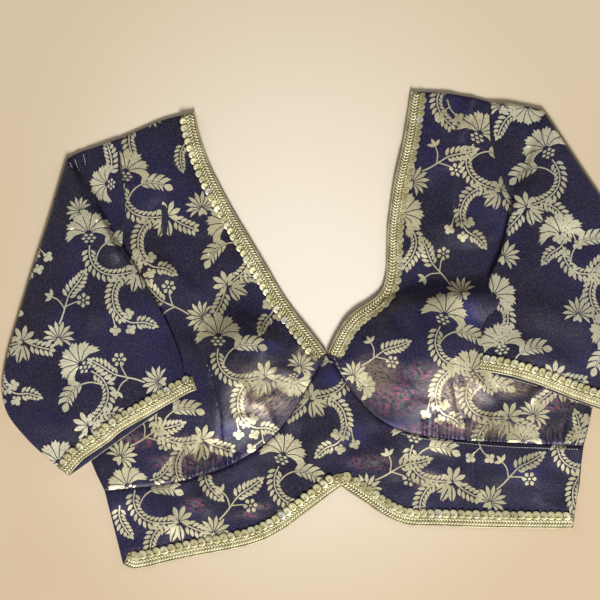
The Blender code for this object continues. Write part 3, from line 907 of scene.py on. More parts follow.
# Each sleeve's armhole, its outer and inner fold, and its cuff's edge on the front and on the back
# layer, by photograph pixel. The folds run from armhole to cuff, the other lines from outer to inner.
SLEEVE_LINES = {
    "left": {
        "armhole": ((117.4, 139.5), (119, 171), (123, 194), (124, 216), (122.7, 245)),
        "outer": ((117.4, 139.5), (93.8, 148), (81, 152), (68, 158.5), (60, 184), (48, 224), (33, 270),
                  (20, 312), (9, 350), (4, 375), (3, 394), (9.5, 416), (30, 441), (54, 463), (70, 475)),
        "inner": ((122.7, 245), (130, 258), (140.8, 275), (154, 298), (162.5, 312), (175.5, 340),
                  (183, 362), (187, 377), (198, 389)),
        "front": ((70, 475), (84, 459), (98, 449), (111, 440), (122, 430.5), (147, 416), (168, 404),
                  (188, 393), (198, 389)),
        "back": ((70, 475), (86, 464), (108, 448), (130, 432.5), (160, 411.5), (185, 395.5), (198, 389)),
    },
    "right": {
        "armhole": ((490.5, 102.5), (492, 138), (495, 149), (499, 162.6), (506.6, 186), (513.5, 200)),
        "outer": ((490.5, 102.5), (506, 103), (530, 107.5), (542.5, 110.6), (562, 140), (585, 175),
                  (607, 208), (629, 245), (650, 284), (664.6, 322), (665, 356), (654, 383), (638, 402),
                  (624.6, 417.7)),
        "inner": ((513.5, 200), (508, 219), (500, 253), (489, 278), (487, 305), (479, 338),
                  (475.8, 352), (476.5, 370)),
        "front": ((624.6, 417.7), (600, 407.3), (572, 397.4), (541, 385), (512, 376), (490, 371.8),
                  (476.5, 370)),
        "back": ((624.6, 417.7), (600, 409), (572, 399.5), (541, 387.5), (512, 379), (490, 374.5),
                 (476.5, 370)),
    },
}


def sleeve_line(side, name):
    pixels = SLEEVE_LINES[side][name]
    if name != "outer":
        return curve_at(pixels)
    return np.vstack([curve_at(pixels[:SHOULDER_TIP + 1])[:-1], curve_at(pixels[SHOULDER_TIP:])])


class SleeveForm:
    """A flat sleeve's two layers, which meet in a rounded fold along its outer and inner edges."""

    def __init__(self, side):
        name = "sleeve_" + side
        self.folds, self.hidden_folds = FOLDS[name], HIDDEN_FOLDS[name]
        self.lines = {line: sleeve_line(side, line) for line in SLEEVE_LINES[side]}
        creased = [resampled(self.lines[line], DOT_STEP) for line in ("outer", "inner")]
        self.gap = gap_finder(np.vstack(creased))
        self.upper, self.lower = (Heights(name, way, blur, lambda places: self.gap(places) > SKIN_FROM)
                                  for way, blur in ((1, 3.2), (-1, 4.0)))

    def layers(self, places):
        upper = self.upper(places) + sum(fold(places) for fold in self.folds)
        lower = self.lower(places) + sum(fold(places) for fold in self.hidden_folds)
        upper = np.maximum(upper, lower + LEAST_ROOM)
        middle, half = (upper + lower) / 2, (upper - lower) / 2
        share = np.clip(self.gap(places) / SLEEVE_FOLD, 0, 1)
        round_off = np.sqrt(np.maximum(1 - (1 - share) ** 2, 0))
        return middle + half * round_off, middle - half * round_off

    def top(self, places):
        return self.layers(places)[0]

    def bottom(self, places):
        return self.layers(places)[1]

    def loop(self, mouth):
        """The plan loop of one layer: armhole, inner fold, cuff edge, outer fold."""
        lines = self.lines
        return joined([lines["armhole"], lines["inner"], lines[mouth][::-1], lines["outer"][::-1]])


def sleeve(side, form, shapes_front, shapes_back, looks):
    """One sleeve: front and back layers cut to the pattern and joined along the folds."""
    rows = []
    for name in ("outer", "inner"):
        rows += beside(form.lines[name], *SLEEVE_ROWS)
    for fold in form.folds:
        rows += fold.rows(4)
    merged, whole = {}, []
    for mouth, shapes, way in (("front", shapes_front, 1), ("back", shapes_back, -1)):
        places, triangles, flags = cut(Region(form.loop(mouth)), shapes, rows, way)
        points = np.column_stack([places, form.top(places) if way > 0 else form.bottom(places)])
        keys = [tuple(key) for key in np.round(points / WELD).astype(int).tolist()]
        merged.update(zip(keys, points))
        for triangle, flag in zip(triangles, flags):
            corners = [keys[corner] for corner in triangle]
            if len(set(corners)) == 3:
                whole.append((corners, flag))
    index = {key: spot for spot, key in enumerate(merged)}
    faces = [[index[corner] for corner in corners] for corners, _ in whole]
    return sheet("sleeve_" + side, merged.values(), faces, looks, [flag for _, flag in whole])


# -------- braid

class Ribbon:
    """A strip beside a plan line: places on it are given along it, across it and above it."""

    STEP = 0.8
    EASE = 4            # how many points to each side its turns are evened out over

    def __init__(self, line, surface, side=1, way=1):
        self.line = resampled(line[:, :2], self.STEP)
        self.along = lengths_along(self.line)
        self.length = self.along[-1]
        padded = np.pad(normals_of(self.line) * side, ((self.EASE, self.EASE), (0, 0)), "edge")
        window = np.ones(2 * self.EASE + 1) / (2 * self.EASE + 1)
        across = np.stack([np.convolve(padded[:, axis], window, "valid") for axis in (0, 1)], axis=1)
        self.across = across / np.linalg.norm(across, axis=1, keepdims=True)
        self.surface, self.side, self.way = surface, side, way

    def plan(self, s, w):
        point, across = (np.stack([np.interp(s, self.along, row) for row in table.T], axis=1)
                         for table in (self.line, self.across))
        return point + across * np.asarray(w)[:, None]

    def frames(self, s, w, h):
        """Points, and the unit vectors along, across and out of the strip."""
        s, w, h = np.broadcast_arrays(np.atleast_1d(s).astype(float), w, h)
        places = self.plan(s, w)
        ahead = unit(self.plan(s + self.STEP / 2, w) - self.plan(s - self.STEP / 2, w))
        aside = np.stack([-ahead[:, 1], ahead[:, 0]], axis=1) * self.side
        along, across = (unit(np.column_stack([way, np.clip(self.slope(places, way), -1, 1)]))
                         for way in (ahead, aside))
        out = unit(np.cross(along, across) * self.side * self.way)
        across = np.cross(out, along) * self.side * self.way
        return np.column_stack([places, self.surface(places)]) + out * h[:, None], along, across, out

    def slope(self, places, way):
        step = way * self.STEP
        return (self.surface(places + step) - self.surface(places - step)) / (2 * self.STEP)


def unit(vectors):
    return vectors / np.maximum(np.linalg.norm(vectors, axis=1, keepdims=True), 1e-9)


class Parts:
    """Points and faces of many small forms that end up in one mesh."""

    def __init__(self):
        self.points, self.faces, self.slots, self.count = [], [], [], 0

    def add(self, points, faces, slot):
        self.points.append(points)
        self.faces += [tuple(index + self.count for index in face) for face in faces]
        self.slots += [slot] * len(faces)
        self.count += len(points)

    def repeat(self, form, frames, slots, turns, tilts):
        """A form set at each frame, turned in the strip and tilted along it, in degrees."""
        points, faces = form
        for spot, a, b, c, slot, turn, tilt in zip(*frames, slots, turns, tilts):
            cos, sin = polar(1, turn)
            a, b = a * cos + b * sin, b * cos - a * sin
            cos, sin = polar(1, tilt)
            a, c = a * cos + c * sin, c * cos - a * sin
            self.add(spot + points @ np.stack([a, b, c]), faces, slot)

    def swept(self, rings, slot):
        """A closed strip through rings of points: one array for each corner of its section."""
        points = np.stack(rings, axis=1).reshape(-1, 3)
        n = len(rings)
        faces = [(start + k, start + (k + 1) % n, start + n + (k + 1) % n, start + n + k)
                 for start in range(0, len(points) - n, n) for k in range(n)]
        faces += [tuple(range(n)), tuple(range(len(points) - n, len(points)))[::-1]]
        self.add(points, faces, slot)

    def piece(self, name, materials):
        return add_piece(name, np.vstack(self.points), self.faces, materials, self.slots)


def dome_form(length, width, height):
    """Half a long bead, lying along its first axis."""
    points = [(-length / 2, 0, 0)]
    for station, share in ((-0.3, 0.82), (0, 1.0), (0.3, 0.82)):
        for step in range(5):
            y, z = polar(1, 180 * step / 4)
            points.append((station * length, y * share * width / 2, z * share * height))
    points.append((length / 2, 0, 0))
    faces = [(0, 2 + step, 1 + step) for step in range(4)]
    faces += [(1 + 5 * ring + step, 2 + 5 * ring + step, 7 + 5 * ring + step, 6 + 5 * ring + step)
              for ring in range(2) for step in range(4)]
    faces += [(16, 11 + step, 12 + step) for step in range(4)]
    return np.array(points), faces


def sequin_form(radius):
    """A cupped disc with a hole in its middle."""
    rings = ((0.14, 0.0), (0.5, 0.025), (0.94, 0.03), (1.0, 0.0))
    corners = 18
    points = [(*polar(radius * share, 360 * k / corners), radius * lift)
              for share, lift in rings for k in range(corners)]
    faces = [(r * corners + k, (r + 1) * corners + k, (r + 1) * corners + (k + 1) % corners,
              r * corners + (k + 1) % corners) for r in range(len(rings) - 1) for k in range(corners)]
    return np.array(points), faces


def stitches(parts, ribbon, w, h, pitch, size, slant, slot, margin=1.0):
    """A row of slanted stitches along a ribbon."""
    length = ribbon.length - 2 * margin
    count = int(length / pitch)
    order = np.arange(count)
    s = margin + (order + 0.5) * length / count
    turns = slant + 3 * np.sin(order * 2.3)
    parts.repeat(dome_form(*size), ribbon.frames(s, w, h), [slot] * count, turns, np.zeros(count))


def rod(parts, ribbon, w, h, radius, slot, sides=7):
    """A round cord along a ribbon."""
    s = np.linspace(0, ribbon.length, int(ribbon.length / 1.6))
    points, _, across, out = ribbon.frames(s, w, h)
    turns = [polar(radius, 360 * step / sides) for step in range(sides)]
    parts.swept([points + across * y + out * z for y, z in turns], slot)


def tape(parts, ribbon, near, far, low, high, slot):
    """The woven tape under the stitches: a strip with a thickness and rounded edges."""
    s = np.linspace(0, ribbon.length, int(ribbon.length / 2.0))
    section = ((near, low), (near, high - 0.2), (near + 0.5, high), ((near + far) / 2, high),
               (far - 0.5, high), (far, high - 0.2), (far, low))
    parts.swept([ribbon.frames(s, w, h)[0] for w, h in section], slot)


BRAID_LOOKS = ("tape", "piping", "cord", "stitch", "sequin", "sequin_pale", "sequin_white")
TAPE, PIPING, CORD, STITCH, SEQUIN, SEQUIN_PALE, SEQUIN_WHITE = range(7)

# The plait's two rows and the fine cord over the sequins' edge: distance in from the braid's own
# edge, height and pitch, a stitch's length, width and rise, its slant in degrees, its look.
STITCH_ROWS = (
    (3.2, 0.6, 2.5, (4.3, 1.45, 1.0), 50, CORD),
    (6.3, 0.6, 2.5, (4.3, 1.45, 1.0), -50, CORD),
    (8.8, 1.15, 2.2, (2.6, 1.3, 0.8), 30, STITCH),
)
TAPE_SPAN = (0.4, 12.2, 0.1, 0.75)      # its near and far edge, its underside and its top, mm
PIPING_ROD = (0.9, 0.75, 0.8)           # distance in from the edge, height and radius, mm
EDGE_ROD = (0.1, -0.5, 0.4)             # the same for the cord between a cuff's two braids
SEQUIN_SPACING = 1.75   # between their middles, as a share of their radius
SEQUIN_MARGIN = 3.0     # from an end of the braid to its first sequin, mm
SEQUIN_IN = 10.8        # from the braid's own edge to their middles, mm
SEQUIN_LIFT = 1.2       # mm


def sequins(parts, ribbon, seed, radius):
    """Overlapping sequins in a row, mostly gold, a third paler and a few silver."""
    length = ribbon.length - 2 * SEQUIN_MARGIN
    count = int(length / (radius * SEQUIN_SPACING))
    order = np.arange(count)
    s = SEQUIN_MARGIN + (order + 0.5) * length / count
    w = SEQUIN_IN + 0.35 * np.sin(order * 2.9 + seed)
    kinds = [(SEQUIN_WHITE if (k * 7 + seed * 5) % 23 == 3 else
              SEQUIN_PALE if (k * 5 + seed) % 3 == 0 else SEQUIN) for k in range(count)]
    turns = np.degrees(np.sin(order * 5.1)) * 0.1
    tilts = 13 + 5 * np.sin(order * 1.7 + seed)
    parts.repeat(sequin_form(radius), ribbon.frames(s, w, SEQUIN_LIFT), kinds, turns, tilts)


def braid(parts, ribbon):
    """The gold braid: a tape with piping at its edge, a plait of slanted stitches and a fine cord."""
    tape(parts, ribbon, *TAPE_SPAN, TAPE)
    rod(parts, ribbon, *PIPING_ROD, PIPING)
    for row in STITCH_ROWS:
        stitches(parts, ribbon, *row)


def finished_braid(name, parts, looks, replaced):
    piece = parts.piece("braid_" + name, [looks[look] for look in BRAID_LOOKS])
    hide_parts(replaced)
    return piece


# -------- stage

FLOOR_REACH = 6.0       # m
FLOOR_DROP = 0.0004     # m
SKY_STRENGTH = 0.14
SENSOR_WIDTH = 36       # mm
LIGHTS = (              # name, place from the middle of the picture in m, size in m, power in W
    ("key", (0.4, -2.4, 1.75), 0.9, 122),
    ("fill", (-2.0, 1.2, 1.2), 1.6, 10),
    ("side", (2.4, 0.6, 1.1), 1.0, 9),
)


def floor_paper(middle):
    """Cream paper with painted light and shade: palest behind the neck, darker towards its edges and towards
    the key light's side.
    """
    paper = Surface("floor", 0.9)
    offset = paper.shifted("MULTIPLY", paper.shifted("SUBTRACT", paper.place, middle), (1.12, 0.88, 0))
    uneven = paper.times(paper.noise(6), 0.1)
    # Painted shade: the paper darker towards its edges, with some random unevenness.
    tone = paper.plus(paper.ranged(paper.size_of(offset), 0.04, 0.34), uneven)
    base = paper.blend(tone, colour(250, 240, 221), colour(216, 193, 160))
    # Painted shade on the key light's side, offsetting its light, and painted light at the far side beyond
    # the neck.
    ahead = paper.node("SeparateXYZ", Vector=paper.place).outputs["Y"]
    base = paper.blend(paper.ranged(ahead, 0.0, -0.34, 0.0, 0.5), base, colour(186, 163, 132))
    base = paper.blend(paper.ranged(ahead, 0.0, 0.34, 0.0, 0.4), base, colour(246, 230, 202))
    paper.feed("Base Color", base)
    return paper.material


def make_stage():
    """A pale floor with painted light and shade, soft lights, and the camera straight over the blouse."""
    middle = Vector((*at(*PHOTO_CENTRE), 0)) * MM
    mesh = bpy.data.meshes.new("floor")
    corners = [(x * FLOOR_REACH, y * FLOOR_REACH, 0) for x, y in ((-1, -1), (1, -1), (1, 1), (-1, 1))]
    mesh.from_pydata(corners, [], [(0, 1, 2, 3)])
    mesh.materials.append(floor_paper(middle))
    add_object("floor", mesh, (0, 0, -FLOOR_DROP))

    for name, place, size, power in LIGHTS:
        light = bpy.data.lights.new(name, "AREA")
        light.size = size
        light.energy = power
        holder = add_object(name, light, middle + Vector(place))
        holder.rotation_euler = Vector(place).to_track_quat("Z", "Y").to_euler()
    world = bpy.data.worlds.new("world")
    world.use_nodes = True
    sky = world.node_tree.nodes["Background"]
    sky.inputs["Color"].default_value = colour(255, 250, 244)
    sky.inputs["Strength"].default_value = SKY_STRENGTH

    scene = bpy.context.scene
    scene.world = world
    camera = bpy.data.cameras.new("camera")
    camera.sensor_width = SENSOR_WIDTH
    camera.lens = SENSOR_WIDTH * CAMERA_HEIGHT / (PHOTO_SIDE * PHOTO_SCALE * MM)
    scene.camera = add_object("camera", camera, middle + Vector((0, 0, CAMERA_HEIGHT)))
    scene.view_settings.view_transform = "Standard"


# -------- what lies where
# Motif, photo x and y of its base, turn in degrees, size if it isn't 1; a negative size mirrors it.

PATTERN = {
    "front_left": (
        ("spray", 126, 172, -6), ("spray", 229, 224, 48, -1), ("spray", 219, 336, 0),
        ("spray", 157, 400, 0), ("sprig", 209, 318, 80), ("bud", 203, 214, 10),
        ("fern", 185, 144, 165, 0.8), ("fern", 133, 126, 172), ("bud", 297, 371, -35, 0.9),
        ("fan", 294, 380, 196, 0.75), ("sprig", 117, 461, -42), ("buds", 262, 432, 170),
        ("fan", 128, 486, 38, 0.9), ("fern", 150, 480, -60, 0.9), ("sprig", 140, 330, 20),
        ("bud", 150, 110, 190, 0.8),
    ),
    "front_right": (
        ("sprig", 408, 186, -44), ("buds", 447, 100, 178), ("vine", 446, 84, 178), ("fan", 401, 214, -60),
        ("vine", 405, 224, 188, -1), ("spray", 479, 134, -29), ("short_spray", 443, 315, -22),
        ("sprig", 466, 296, 56, 0.95), ("spray", 469, 371, -9), ("sprig", 350, 380, -38, 0.9),
        ("fan", 362, 386, -76, 0.6), ("sprig", 530, 420, -34), ("fan", 523, 442, 6, 0.8),
        ("spray", 590, 330, 20, -1), ("fern", 575, 445, -10),
    ),
    "front_band": (
        ("spray", 136, 478, -4), ("spray", 283, 455, -20), ("spray", 340, 345, 20, -1),
        ("spray", 415, 433, -12), ("spray", 560, 424, -6), ("sprig", 212, 538, -22),
        ("sprig", 487, 507, -28), ("sprig", 361, 494, -45), ("fern", 120, 505, 190),
        ("fern", 205, 470, 200), ("buds", 478, 440, 178),
    ),
    "sleeve_left": (
        ("spray", 90, 234, 4), ("spray", 83, 364, 56, -1), ("sprig", 60, 344, -2), ("spray", -25, 305, 4),
        ("spray", -16, 181, 52, -1), ("sprig", 166, 381, 92), ("bud", 86, 214, 60, 0.85),
        ("fan", 60, 462, 10), ("fan", 108, 184, 84, 0.8), ("fern", 108, 176, -8), ("spray", 20, 470, 10),
    ),
    "sleeve_right": (
        ("fan", 492, 296, -40), ("bud", 499, 262, -30), ("vine", 495, 300, 190, -1),
        ("fan", 527, 106, 150, 0.85), ("fern", 518, 112, 130), ("spray", 560, 235, 8),
        ("spray", 610, 330, 52, -1), ("sprig", 575, 320, -8), ("bud", 503, 112, 10),
        ("spray", 545, 150, 30, -1), ("spray", 500, 345, 10),
    ),
}


def laid(placements):
    return [shape for motif, px, py, *more in placements for shape in woven(motif, at(px, py), *more)]


# One repeat of the loom's pattern: motif, place in mm, turn, size; a negative size mirrors it.
REPEAT = (("spray", (0, 0), 0, 1), ("spray", (88, -47), 50, -1), ("sprig", (68, -27), 0, 1))
REPEAT_STEPS = ((119, 13), (83, -139))      # from one repeat to the next, both ways, in mm
REPEAT_REACH = 3


def all_over(centre, turn):
    """The repeat as the loom lays it, on a slanting grid."""
    steps = range(-REPEAT_REACH, REPEAT_REACH + 1)
    shapes = []
    for i, j in itertools.product(steps, steps):
        x, y = (i * first + j * second for first, second in zip(*REPEAT_STEPS))
        for motif, (ahead, aside), way, size in REPEAT:
            spot = beyond(centre, turn, x + ahead, y + aside)
            shapes += woven(motif, spot, way + turn, size)
    return shapes


def gathers(pixels, top, seam, slope, height, width):
    """Small ridges that rise from the under-bust seam, at photo x places along it."""
    folds = []
    for index, px in enumerate(pixels):
        foot = seam + (px - pixels[0]) * slope
        lean = 2.0 * math.sin(index * 2.3)
        reach = (foot - top) * (0.75 + 0.25 * math.sin(index * 1.9))
        folds.append(Fold(height * (0.8 + 0.3 * math.sin(index * 4.1)), width, width * 0.8,
                          (px + lean, foot - reach), (px + lean / 2, foot - reach / 2), (px, foot), end=1.0))
    return tuple(folds)


FOLD_DEPTH = 0.4        # how far down towards the back a trough may go, as a share of the height
EDGE_ROUND = 1.5        # how far in from its edge a panel turns down, mm
RIPPLES = ((0, 55, 0.9), (3, 23, 0.35))     # more to the seed, size and height in mm
PANEL_ROWS = (0.6, 1.5, 2.8)            # rows of mesh points inside a panel's edge, mm
PANEL_BLUR = 4.0        # over how much the CAD model's heights are smoothed, mm

FOLDS = {
    "front_left": (
        Fold(4.0, 3.0, 10, (230, 308), (240, 318), (256, 330), (274, 342), (293, 354)),
        Fold(7.5, 12, 23, (196, 356), (226, 346), (258, 342), (290, 350), start=0.4, end=0.5),
        Fold(1.6, 2.6, 8, (248, 352), (262, 351), (282, 351), (300, 356)),
        Fold(-2.4, 6, 5, (186, 318), (196, 336), (206, 352), (214, 366)),
        Fold(-1.4, 0.8, 1.2, (211.5, 375.5), (217, 394), (220.8, 413), (221.4, 428), (223.3, 465),
             start=0.6, end=1),
        Fold(2.6, 2.0, 4.5, (248, 407), (268, 398), (288, 388)),
        Fold(2.0, 1.8, 3.5, (266, 400), (270, 414), (276, 430)),
        Fold(2.0, 2.0, 4, (238, 372), (246, 388), (250, 410)),
        Fold(1.8, 2.0, 5, (262, 372), (280, 368), (300, 372)),
        Fold(1.6, 2.0, 4, (226, 420), (244, 416), (262, 420)),
        Fold(2.6, 3.5, 12, (140, 250), (168, 268), (196, 292), (216, 300)),
        Fold(-2.0, 5, 8, (150, 196), (170, 222), (196, 244)),
        Fold(2.0, 5, 9, (134, 330), (150, 356), (170, 372), (196, 380)),
        Fold(-2.2, 6, 5, (126, 300), (138, 330), (152, 350), (160, 380)),
        Fold(1.8, 3, 9, (132, 412), (160, 404), (190, 400)),
        Fold(4.5, 9, 32, (214, 384), (220, 426), (223, 458), start=0.5, end=0.8),
        *gathers((176, 184, 190, 196, 201, 206, 211, 217, 228, 236), 440, 481.0, -0.31, 3.2, 1.4),
    ),
    "front_right": (
        Fold(-3.0, 1.6, 1.2, (475, 103), (470.6, 126), (468, 141), (473, 153.5), start=1),
        Fold(1.6, 5, 3, (468, 103), (463, 126), (461, 146), start=1),
        Fold(-1.4, 1.2, 0.8, (453, 354), (452, 382), (455.5, 402), (458, 416), (465.7, 421), (468, 439),
             start=0.4, end=1),
        Fold(-6.0, 4.0, 2.0, (524, 376), (522, 390), (523, 404), start=1),
        Fold(4.0, 2.6, 2.6, (546, 384), (534, 393), (526, 404), start=1),
        Fold(-4.0, 10, 5, (396, 292), (412, 281), (440, 273), (470, 269), (494, 260), start=0.6, end=0.8),
        Fold(9.0, 7, 18, (388, 320), (404, 308), (430, 301), (462, 298), (488, 297), start=0.5, end=0.8),
        Fold(6.5, 12, 24, (362, 352), (396, 342), (436, 342), (476, 352), (530, 372), start=0.5),
        Fold(-2.2, 6, 6, (448, 160), (456, 200), (462, 240)),
        Fold(1.6, 5, 7, (430, 214), (458, 226), (484, 222)),
        Fold(1.6, 4, 5, (424, 130), (430, 160), (426, 196)),
        Fold(2.2, 3, 8, (366, 372), (392, 384), (420, 388)),
        Fold(2.2, 3, 6, (404, 398), (424, 404), (446, 402)),
        Fold(2.0, 3, 5, (470, 372), (486, 392), (496, 404)),
        Fold(1.6, 3, 6, (560, 398), (570, 410), (572, 426)),
        *gathers((424, 433, 441, 448, 456, 468, 475, 483, 490, 497, 504), 406, 436.5, 0.09, 3.4, 1.4),
        *gathers((548, 567, 572), 416, 444, 0, 2.4, 1.5),
    ),
    "front_band": (
        Fold(-1.2, 1.4, 1.4, (471.5, 442), (473, 469), (473, 510), start=1, end=0.5),
        Fold(1.6, 5, 4, (205, 482), (203, 500), (210, 520), start=0.5),
        Fold(-1.8, 4, 5, (240, 470), (246, 490), (244, 512), start=0.5),
        Fold(1.6, 6, 7, (322, 388), (332, 424), (338, 455)),
        Fold(-1.6, 6, 7, (296, 420), (300, 446), (292, 476)),
        Fold(1.4, 7, 8, (150, 494), (170, 520), (178, 545)),
        Fold(-1.4, 6, 8, (118, 500), (130, 528), (138, 552)),
        Fold(1.4, 6, 8, (378, 428), (392, 456), (396, 488)),
        Fold(-1.4, 5, 8, (430, 446), (440, 474), (438, 500)),
        Fold(1.4, 6, 8, (524, 452), (534, 480), (532, 510)),
        Fold(-1.2, 5, 7, (556, 450), (560, 480), (566, 510)),
    ),
    "sleeve_left": (
        Fold(-2.0, 2.4, 1.8, (75, 159), (77, 165), (80, 171.5), start=1),
        Fold(-2.0, 2.4, 1.8, (83.6, 154), (85, 160), (86, 166), start=1),
        Fold(-3.0, 12.0, 0.8, (97, 202), (103, 216), (112, 234), (120, 250), start=0.6, end=1),
        Fold(3.6, 0.7, 6, (70, 163), (79, 176), (96, 204), (104, 219), start=0.4, end=0.9),
        Fold(5.0, 0.8, 9, (94, 200), (103, 216), (110, 232), (117, 246), start=0.5, end=0.9),
        Fold(2.0, 8, 12, (34, 292), (70, 306), (116, 318)),
        Fold(-1.6, 7, 9, (30, 350), (60, 372), (96, 384)),
        Fold(1.8, 6, 10, (26, 410), (60, 420), (90, 424)),
        Fold(1.6, 5, 9, (62, 206), (76, 232), (84, 268)),
    ),
    "sleeve_right": (
        Fold(-3.0, 1.4, 5, (536, 134), (527, 160), (520, 185), (515, 198)),
        Fold(2.0, 8, 12, (506, 300), (550, 312), (600, 330)),
        Fold(-1.6, 7, 9, (530, 220), (560, 236), (600, 240)),
        Fold(1.8, 6, 10, (498, 340), (540, 352), (580, 372)),
    ),
}

# Creases on the undersides, where the cloth stands a little off the floor.
HIDDEN_FOLDS = {
    "back_left": (
        Fold(0.9, 6, 8, (118, 286), (150, 306), (196, 316)),
        Fold(0.8, 5, 9, (112, 352), (158, 366), (214, 362), (258, 370)),
        Fold(0.7, 7, 6, (196, 410), (204, 462), (198, 520)),
        Fold(0.8, 6, 7, (120, 470), (160, 482), (186, 478)),
        Fold(0.7, 5, 8, (150, 170), (166, 214), (158, 262)),
        Fold(0.6, 6, 6, (262, 400), (286, 430), (300, 466)),
    ),
    "back_right": (
        Fold(0.9, 7, 8, (560, 262), (520, 284), (470, 290)),
        Fold(0.8, 6, 9, (574, 330), (520, 342), (462, 334), (410, 346)),
        Fold(0.7, 6, 6, (486, 380), (480, 426), (488, 492)),
        Fold(0.8, 7, 6, (572, 446), (540, 458), (506, 452)),
        Fold(0.7, 5, 8, (470, 140), (456, 190), (466, 236)),
        Fold(0.6, 6, 5, (372, 380), (384, 420), (376, 454)),
    ),
    "sleeve_left": (
        Fold(1.6, 7, 10, (46, 262), (84, 270), (118, 286)),
        Fold(1.3, 6, 9, (34, 330), (76, 352), (128, 350)),
        Fold(1.5, 8, 7, (60, 400), (104, 396), (150, 374)),
        Fold(1.2, 5, 8, (84, 190), (92, 226), (104, 250)),
    ),
    "sleeve_right": (
        Fold(1.6, 7, 10, (506, 250), (552, 262), (604, 256)),
        Fold(1.3, 6, 9, (498, 316), (548, 330), (610, 318)),
        Fold(1.5, 8, 7, (520, 366), (570, 372), (620, 366)),
        Fold(1.2, 5, 8, (534, 150), (548, 190), (566, 220)),
    ),
}


def panel(name, shapes, looks, seed=0, way=1):
    """One flat panel of the body, from its CAD node's outline and height."""
    region = Region(joined(outline_sides(name, way)))
    skin = Heights(name, way, PANEL_BLUR)
    folds = FOLDS[name] if way > 0 else HIDDEN_FOLDS[name]

    def height(places):
        level = skin(places)
        total = level - way * np.exp(-(region.gap(places) / EDGE_ROUND) ** 2)
        if way > 0:
            total += sum(ripple(places, seed + more, *wave) for more, *wave in RIPPLES)
        total += sum(fold(places) for fold in folds)
        return np.maximum(total, level * (1 - FOLD_DEPTH)) if way > 0 else total

    extra = [line[:-1] for line in beside(closed(region.loop), *PANEL_ROWS)] if way > 0 else []
    for fold in folds:
        extra += fold.rows()
    places, triangles, flags = cut(region, shapes, extra, way)
    points = np.column_stack([places, height(places)])
    return sheet(name, points, triangles.tolist(), looks, flags), height


# Light stitches that show beside seams: the panel, the line by photograph pixel, the distance to
# its left in mm, the pitch and the length of a stitch.
SEAM_DASHES = (
    ("front_right", ((333.5, 357), (339.5, 369), (347, 382)), 0.2, 3.6, 3.0),
    ("front_band", ((400, 433), (430, 439.5), (464, 443), (506.5, 446.5), (578, 449)), 0.0, 2.2, 1.9),
    ("front_left", ((207, 362), (211, 370), (214, 377)), 0.0, 3.6, 1.6),
    ("sleeve_left", ((75, 159), (77, 165), (80, 171.5)), 0.0, 2.4, 3.0),
    ("sleeve_left", ((83.6, 154), (85, 160), (86, 166)), 0.0, 2.4, 3.0),
    ("sleeve_left", ((70, 162.5), (73, 168)), 0.0, 2.4, 3.0),
)


# The dark cord that fills each armhole seam's gap as painted shade: side, distance to its left, height and
# radius in mm.
SEAM_CORDS = (("left", 0.6, -0.4, 1.2), ("right", -0.8, -0.4, 1.2))


def seams(heights, looks):
    """The dark cords that fill the armhole seams' gaps as painted shade, and the light stitches beside other
    seams.
    """
    parts = Parts()
    for side, *cord in SEAM_CORDS:
        rod(parts, Ribbon(sleeve_line(side, "armhole"), heights["front_" + side]), *cord, 0)
    for name, pixels, aside, pitch, length in SEAM_DASHES:
        ribbon = Ribbon(curve_at(pixels), heights[name])
        stitches(parts, ribbon, aside, 0.15, pitch, (length, 0.6, 0.45), 0, 1, 0.2)
    piece = parts.piece("seam_shade_cords_and_threads", [looks["seam_shade_cord"], looks["thread"]])


# The braids on the body: the CAD node, the ends of its outer edge in mm, the panel that it lies
# on, and its sequins' radius.
EDGES = {
    "neck_left": ("neck_trim_left", (-6.7, -19.4), (-118.6, 184.4), "front_left", 3.1),
    "neck_right": ("neck_trim_right", (64.7, 202.4), (-6.2, -19.4), "front_right", 3.1),
    "hem": ("hem_trim", (-179.3, -199.2), (202.4, -168.2), "front_band", 3.6),
}

BACKS = {"back_left": 176, "back_right": 2}     # how their pattern is turned, degrees

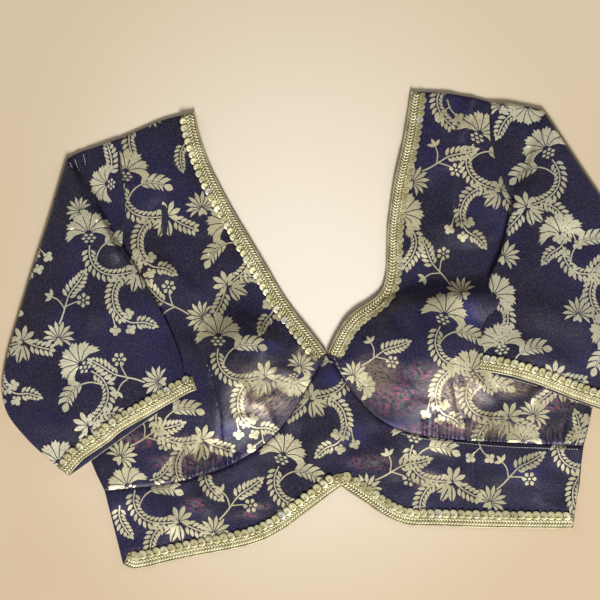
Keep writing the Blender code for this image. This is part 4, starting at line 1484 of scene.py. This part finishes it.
# Each side: which way its cuff's braid lies, its sequins' seed, and its back pattern's turn.
CUFFS = {"left": (1, 3, 20), "right": (-1, 8, -20)}
CUFF_SEQUIN = 3.2       # radius, mm
HALFWAY = 3             # the inner fold's point that the pattern of a sleeve's back is laid from


def main():
    looks = make_materials()
    body = [looks[look] for look in ("ground", "zari", "lining", "lining")]
    arms = [looks[look] for look in ("ground_sleeve", "zari_sleeve_painted_lighter", "lining", "lining")]
    pieces, heights, braids = {}, {}, {}
    for seed, name in enumerate(("front_left", "front_right", "front_band")):
        pieces[name], heights[name] = panel(name, laid(PATTERN[name]), body, seed)
    for name, turn in BACKS.items():
        pieces[name], heights[name] = panel(name, all_over((0, 0), turn), arms, way=-1)
    for side, (inward, seed, turn) in CUFFS.items():
        form = SleeveForm(side)
        name = "sleeve_" + side
        back = all_over(at(*SLEEVE_LINES[side]["inner"][HALFWAY]), turn)
        pieces[name] = sleeve(side, form, laid(PATTERN[name]), back, arms)
        heights[name] = form.top
        parts = Parts()
        over = Ribbon(form.lines["front"], form.top, inward)
        braid(parts, over)
        sequins(parts, over, seed, CUFF_SEQUIN)
        under = Ribbon(form.lines["back"], form.bottom, inward, -1)
        braid(parts, under)
        rod(parts, under, *EDGE_ROD, PIPING, 6)
        braids[name] = finished_braid("cuff_" + side, parts, looks, "cuff_trim_" + side)
    for seed, (name, (node_name, start, end, under, radius)) in enumerate(EDGES.items()):
        parts = Parts()
        ribbon = Ribbon(side_from(node_name, start, end), heights[under])
        braid(parts, ribbon)
        sequins(parts, ribbon, seed, radius)
        braids[under] = finished_braid(name, parts, looks, node_name)
    seams(heights, looks)


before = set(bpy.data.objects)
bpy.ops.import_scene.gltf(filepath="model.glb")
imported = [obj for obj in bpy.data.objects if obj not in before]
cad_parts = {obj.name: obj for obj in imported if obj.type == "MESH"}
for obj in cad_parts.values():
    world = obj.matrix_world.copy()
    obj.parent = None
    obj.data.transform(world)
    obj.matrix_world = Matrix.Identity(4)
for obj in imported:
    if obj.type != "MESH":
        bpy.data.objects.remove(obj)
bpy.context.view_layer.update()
make_stage()
main()
